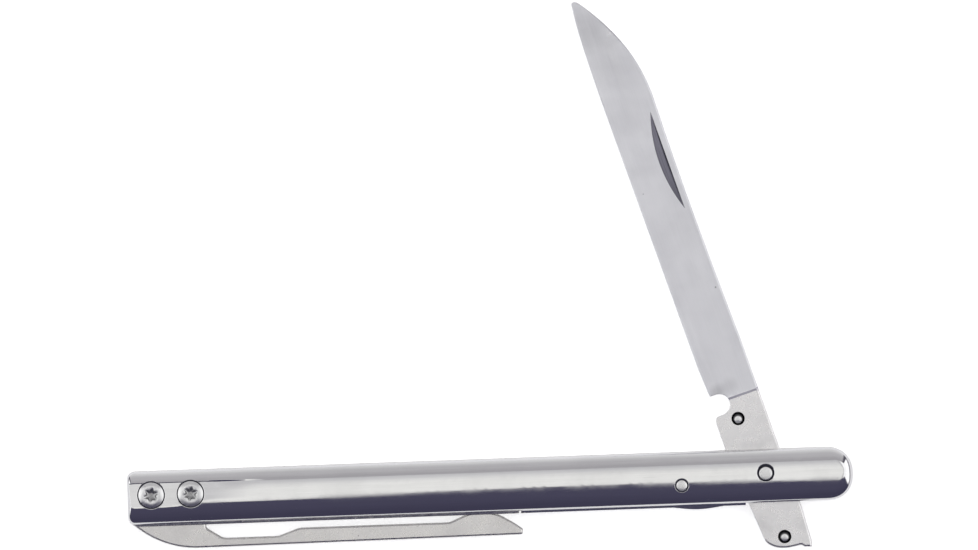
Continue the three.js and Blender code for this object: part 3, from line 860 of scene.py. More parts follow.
def scratch_group() -> bpy.types.NodeTree:
    """Sparse hair-fine scratches in three directions round a main one.

    Returns:
        The group.
    """
    inputs = {"Vector": (VECTOR, None), "Angle": (FLOAT, 0.0), "Spread": (FLOAT, 25.0), "Amount": (FLOAT, 0.5)}
    tree, source, target = new_group("hair scratches", inputs, {"Mask": FLOAT})
    total: object = 0.0
    for turn, scale in HAIR_SETS:
        angle = tree.math("ADD", source["Angle"], tree.math("MULTIPLY", source["Spread"], turn))
        lines = tree.noise(tree.stretched(source["Vector"], angle, along=0.05, across=1.0), scale, detail=1.0)
        edge = tree.math("SUBTRACT", HAIR_LEVEL, tree.math("MULTIPLY", source["Amount"], HAIR_SOFTNESS))
        total = tree.math("MAXIMUM", total, tree.ramp(lines, edge, tree.math("ADD", edge, HAIR_SOFTNESS)))
    tree.link(total, target["Mask"])
    return tree.tree


def smudge_group() -> bpy.types.NodeTree:
    """Soft cloudy patches left by handling.

    Returns:
        The group.
    """
    inputs = {"Vector": (VECTOR, None), "Size": (FLOAT, 10.0)}
    tree, source, target = new_group("handling marks", inputs, {"Cloud": FLOAT})
    scale = tree.math("DIVIDE", 1000.0, source["Size"])
    cloud = tree.noise(source["Vector"], scale, detail=4.0, rough=0.6)
    tree.link(tree.ramp(cloud, low=0.35, high=0.7), target["Cloud"])
    return tree.tree


def wear_group() -> bpy.types.NodeTree:
    """Edges that handling has rubbed bright.

    Returns:
        The group.
    """
    inputs = {"Vector": (VECTOR, None), "Start": (FLOAT, 0.52), "Full": (FLOAT, 0.6)}
    tree, source, target = new_group("edge wear", inputs, {"Mask": FLOAT})
    geometry = tree.add("ShaderNodeNewGeometry")
    edges = tree.ramp(geometry.outputs["Pointiness"], source["Start"], source["Full"])
    patchy = tree.noise(source["Vector"], WIDE_CELLS)
    broken = tree.ramp(patchy, low=0.3, high=0.6, start=0.4, end=1.0)
    tree.link(tree.math("MULTIPLY", edges, broken), target["Mask"])
    return tree.tree


# How much marks change a finish, and how dark the painted shade gets
HAIR_DARKENS, HAIR_ROUGHENS, HAIR_DEPTH = 0.04, 0.03, 0.3
CLOUD_ROUGHENS, BANDS_ROUGHEN, WEAR_SMOOTHS = 0.06, 0.06, 0.05
POLISH_LIMIT = 0.2
WIDE_SHARE = 0.7
TURNED_LEAN, TURNED_FINER = 35, 1.6
PATCH_CORE, PATCH_EDGE = 0.5, 1.9
DARKEST_PAINTED_SHADE = 0.08
RELIEF = 0.00002
BLACK = (0.004, 0.004, 0.01, 1.0)


@dataclass(frozen=True)
class Steel:
    """A steel finish, as it looks under plain light."""

    name: str
    color: Triple
    roughness: float
    grain: Grain
    angle: float = 0.0
    fineness: float = 1.0
    depth: float = 0.1
    cloud: float = 0.06
    scratches: float = 0.4
    spread: float = 25.0
    wear: float = 0.1
    shade: float = 0.06
    # Darker spots: real specks, and painted shade where one sits in a corner
    patches: tuple[tuple[float, float, float, float], ...] = ()
    # Name of a point attribute that paints light: low values darken the colour as painted shade
    painted_light: str = ""

    def material(self, groups: dict[str, bpy.types.NodeTree]) -> bpy.types.Material:
        """Builds the finish's material.

        Args:
            groups: the shared shader groups by name.

        Returns:
            The material.
        """
        material = bpy.data.materials.new(self.name)
        material.use_nodes = True
        tree = Tree(material.node_tree)
        principled = tree.tree.nodes["Principled BSDF"]
        principled.inputs["Metallic"].default_value = 1.0
        place = tree.add("ShaderNodeTexCoord").outputs["Object"]

        def use(name: str, **values: object) -> bpy.types.Node:
            """Places a shared group with its own values.

            Args:
                name: the group's name.
                values: its inputs.

            Returns:
                The placed node.
            """
            node = tree.add("ShaderNodeGroup", node_tree=groups[name])
            tree.link(place, node.inputs["Vector"])
            for key, value in values.items():
                node.inputs[key].default_value = value
            return node

        marks = use("handling marks", Size=9.0)
        hairs = use("hair scratches", Angle=self.angle, Spread=self.spread, Amount=self.scratches)
        worn = use("edge wear")
        lines, bands = self.texture(tree, place, use)

        wide = self.shade * WIDE_SHARE
        level = tree.math("MULTIPLY_ADD", lines, self.shade, 1 - wide)
        for mask, gain, base in (
            (bands, wide, 1 - wide / 2),
            (marks.outputs["Cloud"], -self.cloud, 1.0),
            (hairs.outputs["Mask"], -HAIR_DARKENS, 1.0),
        ):
            level = tree.math("MULTIPLY", level, tree.math("MULTIPLY_ADD", mask, gain, base))
        for x, y, radius, strength in self.patches:
            level = tree.math("MULTIPLY", level, self.patch(tree, place, x, y, radius, strength))
        level = tree.math("MULTIPLY_ADD", worn.outputs["Mask"], self.wear, level, clamp=True)
        # Painted light: the colour is darkened where the named attribute is low, as painted shade
        if self.painted_light:
            clean = tree.add("ShaderNodeAttribute", attribute_name=self.painted_light)
            share = tree.math("MULTIPLY_ADD", clean.outputs["Fac"], 1 - DARKEST_PAINTED_SHADE, DARKEST_PAINTED_SHADE)
            level = tree.math("MULTIPLY", level, share)
        color = tree.mix(level, BLACK, (*self.color, 1.0))
        tree.link(color, principled.inputs["Base Color"])

        rough = self.roughness - CLOUD_ROUGHENS / 2
        for mask, gain in (
            (marks.outputs["Cloud"], CLOUD_ROUGHENS),
            (bands, BANDS_ROUGHEN * (self.roughness > POLISH_LIMIT)),
            (hairs.outputs["Mask"], HAIR_ROUGHENS),
        ):
            rough = tree.math("MULTIPLY_ADD", mask, gain, rough)
        rough = tree.math("MULTIPLY_ADD", worn.outputs["Mask"], -WEAR_SMOOTHS, rough, clamp=True)
        tree.link(rough, principled.inputs["Roughness"])

        relief = tree.math("MULTIPLY_ADD", hairs.outputs["Mask"], -HAIR_DEPTH, lines)
        bump = tree.add("ShaderNodeBump")
        bump.inputs["Strength"].default_value = self.depth
        bump.inputs["Distance"].default_value = RELIEF
        tree.link(relief, bump.inputs["Height"])
        tree.link(bump.outputs[0], principled.inputs["Normal"])
        return material

    def texture(self, tree: Tree, place: Socket, use: Callable[..., bpy.types.Node]) -> tuple[Socket, Socket]:
        """The fine and the wide pattern of the grain.

        Args:
            tree: the material's nodes.
            place: object coordinates.
            use: places a shared group.

        Returns:
            Both patterns, from 0 to 1.
        """
        if self.grain in (Grain.BRUSHED, Grain.POLISHED):
            node = use("brushed grain", Angle=self.angle, Fineness=self.fineness)
            return node.outputs["Lines"], node.outputs["Bands"]
        if self.grain is Grain.TURNED:
            node = use("brushed grain", Angle=self.angle + TURNED_LEAN, Fineness=TURNED_FINER * self.fineness)
            return node.outputs["Lines"], node.outputs["Bands"]
        fine = tree.noise(place, FINE_CELLS * self.fineness, rough=0.65)
        wide = tree.noise(place, WIDE_CELLS * self.fineness)
        return tree.ramp(fine, low=0.3, high=0.7), tree.ramp(wide, low=0.3, high=0.7)

    @staticmethod
    def patch(tree: Tree, place: Socket, x: float, y: float, radius: float, strength: float) -> object:
        """A soft darker patch round a place in millimetres.

        Args:
            tree: the material's nodes.
            place: object coordinates.
            x: the patch's centre, along.
            y: its centre, across.
            radius: its radius.
            strength: how much darker it is.

        Returns:
            The factor on the colour.
        """
        away = tree.add("ShaderNodeVectorMath", operation="DISTANCE")
        flat = tree.add("ShaderNodeVectorMath", operation="MULTIPLY")
        tree.link(place, flat.inputs[0])
        flat.inputs[1].default_value = (1, 1, 0)
        tree.link(flat.outputs[0], away.inputs[0])
        away.inputs[1].default_value = (x * MM, y * MM, 0)
        radius *= MM
        wobble = tree.math("MULTIPLY_ADD", tree.noise(place, PATCH_CELLS), radius, away.outputs["Value"])
        return tree.ramp(wobble, PATCH_CORE * radius, PATCH_EDGE * radius, start=1 - strength)


class Finishes:
    """Every finish of the knife, each made once."""

    SPECS = (
        Steel("polished shell", (0.86, 0.86, 0.87), 0.08, Grain.POLISHED, angle=0, depth=0.005, scratches=0.35,
              spread=5, shade=0.04, cloud=0.04, wear=0.04),
        # Blade patches: the two wide ones darken the blade towards its tip, the two at (39, 14) and (41, 15) are
        # painted shade in the plunge corner by the notch, the two small ones are specks
        Steel("ground blade", (0.87, 0.87, 0.90), 0.32, Grain.BRUSHED, angle=REST_ANGLE, depth=0.03, scratches=0.2,
              spread=4, shade=0.03, cloud=0.05, wear=0.03,
              patches=((19.5, 75.5, 5.0, 0.2), (22.5, 70.0, 4.0, 0.12), (38.9, 14.3, 1.4, 0.25),
                       (41.0, 15.3, 1.4, 0.12), (39.1, 32.0, 0.14, 0.8), (27.5, 48.1, 0.12, 0.5))),
        # Dark band on the plunge's slope: painted shade
        Steel("plunge cut", (0.50, 0.49, 0.56), 0.3, Grain.BRUSHED, angle=17.6, depth=0.02, shade=0.05, wear=0.0),
        Steel("satin tang", (0.93, 0.92, 0.92), 0.28, Grain.TUMBLED, depth=0.005, scratches=-1.0, spread=50,
              shade=0.04, cloud=0.2, wear=0.03),
        # Near-black nick finish: painted shade in the nail nick's hollow
        Steel("milled nick", (0.19, 0.185, 0.225), 0.3, Grain.BRUSHED, angle=REST_ANGLE, depth=0.1, shade=0.3,
              wear=0.0),
        Steel("satin plate", (0.80, 0.79, 0.775), 0.22, Grain.TUMBLED, depth=0.015, scratches=0.3, spread=60,
              shade=0.08, cloud=0.06, wear=0.02),
        Steel("tumbled clip", (0.87, 0.855, 0.835), 0.26, Grain.TUMBLED, depth=0.006, scratches=-0.3, spread=60,
              shade=0.10, cloud=0.08, wear=0.03, patches=((-22.5, -7.66, 0.12, 0.85),)),
        Steel("satin fastener", (0.88, 0.88, 0.88), 0.22, Grain.TURNED, depth=0.03, scratches=0.1, spread=50,
              shade=0.06),
        # The screw's attribute paints shade in its socket
        Steel("satin screw", (0.88, 0.88, 0.88), 0.3, Grain.TURNED, depth=0.03, scratches=0.1, spread=50, shade=0.06,
              painted_light="clean"),
        Steel("spring steel", (0.72, 0.72, 0.76), 0.18, Grain.TUMBLED, depth=0.01, scratches=0.2, spread=30, wear=0.02),
        # The ball's attribute paints a highlight on its cap and shade round it
        Steel("detent ball", (0.92, 0.92, 0.91), 0.3, Grain.POLISHED, depth=0.01, scratches=0.2, shade=0.03, cloud=0.03,
              painted_light="clean"),
        # Near-black recess finish: painted shade on the shells' well walls, floors and bores, on the blade's ball-hole
        # walls and on the hidden shell foot
        Steel("oiled recess", (0.08, 0.08, 0.11), 0.5, Grain.TUMBLED, depth=0.1, scratches=0.1, wear=0.0),
        Steel("bronze washer", (0.70, 0.52, 0.31), 0.34, Grain.TURNED, depth=0.12, scratches=0.4),
        Steel("inner steel", (0.66, 0.66, 0.67), 0.36, Grain.BRUSHED, angle=0, depth=0.14, scratches=0.4),
    )

    def __init__(self) -> None:
        """Builds the shared groups and all materials."""
        groups = {tree.name: tree for tree in (grain_group(), scratch_group(), smudge_group(), wear_group())}
        self.made = {spec.name: spec.material(groups) for spec in self.SPECS}

    def dress(self, obj: Piece, *names: str) -> None:
        """Gives a piece its finishes, one for each of its slots."""
        for name in names:
            obj.data.materials.append(self.made[name])


# Geometry Nodes


def row_tree() -> bpy.types.GeometryNodeTree:
    """A tree that sets copies of one piece in a row and makes them plain mesh.

    Returns:
        The tree.
    """
    tree = bpy.data.node_groups.new("row of pieces", "GeometryNodeTree")
    face = tree.interface
    face.new_socket("Geometry", in_out="INPUT", socket_type="NodeSocketGeometry")
    for label, kind in (("Piece", "NodeSocketObject"), ("Count", "NodeSocketInt"), ("Start", VECTOR), ("Step", VECTOR),
                        ("Turn", VECTOR), ("Material", "NodeSocketMaterial")):
        face.new_socket(label, in_out="INPUT", socket_type=kind)
    face.new_socket("Geometry", in_out="OUTPUT", socket_type="NodeSocketGeometry")
    build = Tree(tree)
    source = build.add("NodeGroupInput")
    target = build.add("NodeGroupOutput")
    line = build.add("GeometryNodeMeshLine", mode="OFFSET")
    info = build.add("GeometryNodeObjectInfo")
    place = build.add("GeometryNodeInstanceOnPoints")
    real = build.add("GeometryNodeRealizeInstances")
    paint = build.add("GeometryNodeSetMaterial")
    for giver, output, taker, entry in (
        (source, "Count", line, "Count"),
        (source, "Start", line, "Start Location"),
        (source, "Step", line, "Offset"),
        (source, "Piece", info, "Object"),
        (line, "Mesh", place, "Points"),
        (info, "Geometry", place, "Instance"),
        (source, "Turn", place, "Rotation"),
        (place, 0, real, 0),
        (real, 0, paint, "Geometry"),
        (source, "Material", paint, "Material"),
        (paint, 0, target, "Geometry"),
    ):
        build.link(giver.outputs[output], taker.inputs[entry])
    return tree


@dataclass
class Row:
    """Copies of a template along a line, in millimetres."""

    template: Piece
    count: int
    start: Triple
    step: Triple
    turn: Triple = (0.0, 0.0, 0.0)

    def build(self, name: str, tree: bpy.types.GeometryNodeTree, material: bpy.types.Material) -> Piece:
        """Runs the row's tree and keeps the result as plain mesh.

        Args:
            name: the new piece's name.
            tree: the row tree.
            material: the finish of every copy.

        Returns:
            The piece.
        """
        obj = in_scene(name, bpy.data.meshes.new(name))
        modifier = obj.modifiers.new("row", "NODES")
        modifier.node_group = tree
        names = {item.name: item.identifier for item in tree.interface.items_tree if item.in_out == "INPUT"}
        modifier[names["Piece"]] = self.template
        modifier[names["Count"]] = self.count
        modifier[names["Start"]] = [v * MM for v in self.start]
        modifier[names["Step"]] = [v * MM for v in self.step]
        modifier[names["Turn"]] = list(self.turn)
        modifier[names["Material"]] = material
        settle(obj)
        return obj


# The knife


@dataclass(frozen=True)
class Layout:
    """Places and heights that the pieces share, in millimetres."""

    pivot: Point = (46.35, 0.43)
    stop_reach: float = 14.26
    stop_bearing: float = 186.16
    screws: tuple[float, float] = (-57.05, -50.42)
    screw_y: float = 0.45
    rear_liner_z: float = 2.0
    slot_z: float = 2.5
    slot_height: float = 2.4
    mid_z: float = 3.7
    front_liner_z: float = 4.9
    front_shell_z: float = 5.4
    rim_y: float = -4.5
    lip_y: float = -4.85
    clip_root: float = -48.07
    tang_ball: Point = (10.18, 1.23)
    tail_ball: Point = (-11.17, 0.52)

    @property
    def stop(self) -> Point:
        """The stop pin's centre."""
        return polar(self.pivot, self.stop_reach, self.stop_bearing)

    def stop_in_blade(self, angle: float) -> Point:
        """The stop pin's centre in the blade's frame, with the blade at an angle."""
        return polar((0, 0), self.stop_reach, self.stop_bearing - angle)

    def blade_in_handle(self, place: Point, angle: float = REST_ANGLE) -> Point:
        """A point of the blade in the handle's frame, with the blade at an angle."""
        return polar(polar(self.pivot, place[0], angle), place[1], angle + 90)

    def blade_matrix(self) -> Matrix:
        """The blade's frame at rest."""
        return Matrix.Translation((*self.pivot, self.mid_z)) @ Matrix.Rotation(math.radians(REST_ANGLE), 4, "Z")


LAYOUT = Layout()


@dataclass
class Handle:
    """The two pressed shells, one the other's mirror image."""

    length: float = 122.1
    width: float = 8.9
    height: float = 2.0
    crown_y: float = 0.45
    crown_half: float = 0.45
    crown_corner: float = 0.4
    rim: float = 0.3
    fullness: float = 2.3
    butt_slope: float = 0.9
    butt_corner: float = 1.1
    nose_slope: float = 1.7
    nose_length: float = 4.4
    shoulder: float = 0.3
    land_low: Point = (-1.64, 0.077)
    land_end: Point = (-0.62, 0.0075)
    land_narrows: Point = (-55.5, -46.0)
    land_high: Point = (2.48, 0.3)
    land_steps: Point = (0.14, 0.32)
    land_widens: Point = (-48.5, -45.5)
    land_fade: Point = (-48.5, -37.0)
    land_blend: float = 0.02
    land_from: float = -60.1
    land_step: float = 0.3
    land_rows: Grid = (-0.3, -0.22, -0.17, -0.12, -0.08, -0.04, 0.0, 0.04, 0.09, 0.15, 0.21)
    straight: Point = (56.0, -60.0)
    steps: Point = (0.5, 1.6)
    fine_below: float = -36.0
    fine_round: float = 3.5
    levels: int = 14
    halvings: int = 22
    nose_steps: int = 48
    corner_steps: int = 8
    land_grid: Grid = (-60.0, -36.0, -1.5, 2.2, 0.6, 0.37)
    butt_grid: Grid = (-61.0, -59.9, -3.4, 3.9, 0.07, 0.12)
    crown_grid: Grid = (-35.0, 59.0, 0.15, 0.75, 2.0, 0.6)
    foot_grid: Grid = (-58, 58, -3, 3, 6, 3)
    seat_steps: int = 72
    window_steps: int = 64
    groove_steps: int = 56
    rise_lines: int = 11
    seat: float = 2.32
    seat_depth: float = 0.85
    seat_edge: float = 0.1
    bore: float = 1.35
    window: float = 1.45
    window_edge: float = 0.12
    window_shift: Point = (0.0, 0.1)
    flange: float = 0.9
    flange_bore: float = 1.2
    groove: float = 1.15
    groove_edge: float = 0.07
    groove_depth: float = 0.4
    stop_bore: float = 0.78

    @property
    def window_place(self) -> Point:
        """The pivot window's centre, a little off the pin's."""
        return LAYOUT.pivot[0] + self.window_shift[0], LAYOUT.pivot[1] + self.window_shift[1]

    def ends(self, inward: float) -> tuple[float, float, float, float, float, float]:
        """Half width, centre line, butt, nose, corner radius and nose length of one level line.

        Args:
            inward: the level, 0 at the rim and 1 at the crown.

        Returns:
            The six measures.
        """
        half = lerp(self.width / 2, self.crown_half, inward)
        butt = -self.length / 2 + inward * self.butt_slope
        nose = self.length / 2 - inward * self.nose_slope
        corner = lerp(self.butt_corner, self.crown_corner, inward)
        return half, self.crown_y * inward, butt, nose, corner, lerp(self.nose_length, self.crown_corner, inward)

    def level_line(self, inward: float) -> list[Point]:
        """The outline at one level: 0 is the rim and 1 the crown.

        Args:
            inward: the level.

        Returns:
            The line's points, anticlockwise.
        """
        half, centre, butt, nose, corner, length = self.ends(inward)
        bend = lambda v: math.copysign(abs(v) ** (2 / self.fullness), v)
        line = []
        for i in range(self.nose_steps + 1):
            x, y = polar((0, 0), 1, lerp(-90, 90, i / self.nose_steps))
            line.append((nose - length * (1 - bend(x)), centre + half * bend(y)))
        shares = self.shares()
        start, end = nose - length, butt + corner
        line += [(lerp(start, end, s), centre + half) for s in shares[1:-1]]
        turns = [i / self.corner_steps for i in range(self.corner_steps + 1)]
        line += [polar((butt + corner, centre + half - corner), corner, lerp(90, 180, turn)) for turn in turns]
        line += [(butt, centre + lerp(half - corner, corner - half, i / 10)) for i in range(1, 10)]
        line += [polar((butt + corner, centre - half + corner), corner, lerp(180, 270, turn)) for turn in turns]
        return line + [(lerp(start, end, s), centre - half) for s in reversed(shares[1:-1])]

    def shares(self) -> list[float]:
        """Where the level lines have points along the straight sides, closer near screws, stop pin and pivot.

        Returns:
            Shares of a side, from 0 at the nose to 1 at the butt.
        """
        shares, share = [0.0], 0.0
        while share < 1:
            x = lerp(*self.straight, share)
            near = x < self.fine_below or any(abs(x - c) < self.fine_round for c in (LAYOUT.pivot[0], LAYOUT.stop[0]))
            share += self.steps[0 if near else 1] / (self.straight[0] - self.straight[1])
            shares.append(min(share, 1.0))
        return shares

    def within(self, x: float, y: float, inward: float) -> bool:
        """Whether a point lies inside a level line.

        Args:
            x: place along.
            y: place across.
            inward: the level.

        Returns:
            True inside.
        """
        half, centre, butt, nose, corner, length = self.ends(inward)
        across = abs(y - centre)
        if across > half or x < butt or x > nose:
            return False
        if x > nose - length:
            return ((x - nose + length) / length) ** self.fullness + (across / half) ** self.fullness <= 1
        if x < butt + corner and across > half - corner:
            return math.hypot(butt + corner - x, across - half + corner) <= corner
        return True

    def inward(self, x: float, y: float) -> float:
        """How far in from the rim a point lies, from 0 to 1 at the crown.

        Args:
            x: place along.
            y: place across.

        Returns:
            The level that passes through the point.
        """
        low, high = 0.0, 1.0
        if self.within(x, y, 1.0):
            return 1.0
        for _ in range(self.halvings):
            middle = (low + high) / 2
            if self.within(x, y, middle):
                low = middle
            else:
                high = middle
        return low

    def rise(self, inward: float) -> float:
        """Height of a level line on the pressed curve."""
        return self.rim + (self.height - self.rim) * max(1 - (1 - inward) ** self.fullness, 0.0) ** (1 / self.fullness)

    def pillow(self, x: float, y: float) -> float:
        """Height of the pressed surface, with the land under the screws pressed in.

        Args:
            x: place along.
            y: place across.

        Returns:
            The height above the shell's foot.
        """
        crown = self.rise(self.inward(x, y))
        share = smooth(*self.land_narrows, x)
        low, drop = (lerp(a, b, share) for a, b in zip(self.land_low, self.land_end))
        high, deeper = self.land_high
        land = self.height - lerp(drop, deeper, (y - low) / (high - low))
        step = lerp(*self.land_steps, smooth(*self.land_widens, x))
        edge = smooth(-0.5 * step, 0.5 * step, y - high)
        pressed = (1 - smooth(*self.land_fade, x)) * (1 - edge)
        return crown - pressed * (crown - soft_min(crown, land, self.land_blend))

    def shell(self) -> Solid:
        """The front shell, its foot at z = 0.

        Returns:
            The closed solid.
        """
        solid = Solid()
        turns = [math.radians(90 * i / self.levels) for i in range(self.levels + 1)]
        levels = [1 - math.cos(turn) ** (2 / self.fullness) for turn in turns]
        levels = [v for v in levels if v < self.shoulder - LEAST_ROOM] + [self.shoulder]
        foot = self.level_line(0)
        flat = [Vector((*o, 0)) for o in Rim(foot, 0.0).outward()]
        rings = [[Vector((*p, 0)) for p in foot]]
        normals = [flat]
        for level in levels:
            line = self.level_line(level)
            rings.append([Vector((*p, self.rise(level))) for p in line])
            normals.append([slope_normal(self.pillow, *p, 0.002) for p in line] if level else flat)
        solid.add_band(rings, normals)

        rims = [plain(self.level_line(self.shoulder))]
        for x in LAYOUT.screws:
            rims.append(Rim(circle((x, LAYOUT.screw_y), self.seat, self.seat_steps), self.seat_edge, 5, hole=True))
        rims.append(Rim(circle(self.window_place, self.window, self.window_steps), self.window_edge, 4, hole=True))
        rims.append(Rim(circle(LAYOUT.stop, self.groove, self.groove_steps), self.groove_edge, 3, hole=True))
        lines = [lerp(self.shoulder, 1, i / self.rise_lines) for i in range(1, self.rise_lines + 1)]
        samples = [p for level in lines for p in self.level_line(level)]
        samples += lattice(*self.land_grid) + lattice(*self.butt_grid)
        for row in self.land_rows:
            y = self.land_high[0] + row
            samples += lattice(self.land_from, self.fine_below, y, y, self.land_step, 1)
        samples += lattice(*self.crown_grid)
        solid.add_face(face_of(rims, samples, self.pillow))
        self.add_wells(solid)
        self.add_underside(solid)
        return solid

    def add_wells(self, solid: Solid) -> None:
        """Adds walls and floors of the screw seats, the pivot window and the stop pin's groove.

        Args:
            solid: the shell so far.
        """
        seat = (self.seat, self.seat_steps, self.seat_edge, self.height - self.seat_depth, self.bore)
        window = (self.window, self.window_steps, self.window_edge, self.flange, self.flange_bore)
        groove = (self.groove, self.groove_steps, self.groove_edge, self.height - self.groove_depth, self.stop_bore)
        wells = [((x, LAYOUT.screw_y), *seat) for x in LAYOUT.screws]
        wells += [(self.window_place, *window), (LAYOUT.stop, *groove)]
        for centre, radius, steps, edge, floor, bore in wells:
            top = circle(centre, radius, steps)
            inwards = [Vector((centre[0] - x, centre[1] - y, 0)).normalized() for x, y in top]
            brim = [Vector((*p, self.pillow(*p) - edge)) for p in top]
            base = [Vector((*p, floor)) for p in top]
            # Slot 1 is the near-black recess finish: painted shade on the well walls, floors and bores
            solid.add_band([brim, base], [inwards, inwards], 1)
            up = [Vector((0, 0, 1))] * steps
            hole = circle(LAYOUT.pivot if radius == self.window else centre, bore, steps)
            inner = [Vector((*p, floor)) for p in hole]
            solid.add_band([base, inner], [up, up], 1)
            solid.add_band([inner, [Vector((*p, 0)) for p in hole]], [inwards, inwards], 1)

    def add_underside(self, solid: Solid) -> None:
        """Adds the foot, which the liner covers, with the same openings.

        Args:
            solid: the shell so far.
        """
        rims = [plain(self.level_line(0))]
        for x in LAYOUT.screws:
            rims.append(plain(circle((x, LAYOUT.screw_y), self.bore, self.seat_steps), True))
        rims.append(plain(circle(LAYOUT.pivot, self.flange_bore, self.window_steps), True))
        rims.append(plain(circle(LAYOUT.stop, self.stop_bore, self.groove_steps), True))
        solid.add_face(face_of(rims, lattice(*self.foot_grid), lambda x, y: 0.0).under(), lambda x, y: 1)

    def build(self, finishes: Finishes) -> list[Piece]:
        """Makes both shells and sets them in place of the solids.

        Args:
            finishes: the knife's materials.

        Returns:
            The front and the rear shell.
        """
        solid = self.shell()
        front = solid.build("front_shell_pressing", Matrix.Translation((0, 0, LAYOUT.front_shell_z)))
        mirror = Matrix.Translation((0, 0, self.height)) @ Matrix.Diagonal((1, 1, -1, 1))
        rear = solid.build("rear_shell_pressing", mirror)
        for obj, node in ((front, "front_shell"), (rear, "rear_shell")):
            # The second finish is the near-black recess, painted shade in the wells and on the foot
            finishes.dress(obj, "polished shell", "oiled recess")
            install(obj, "handle", "polished_steel", node)
        return [front, rear]


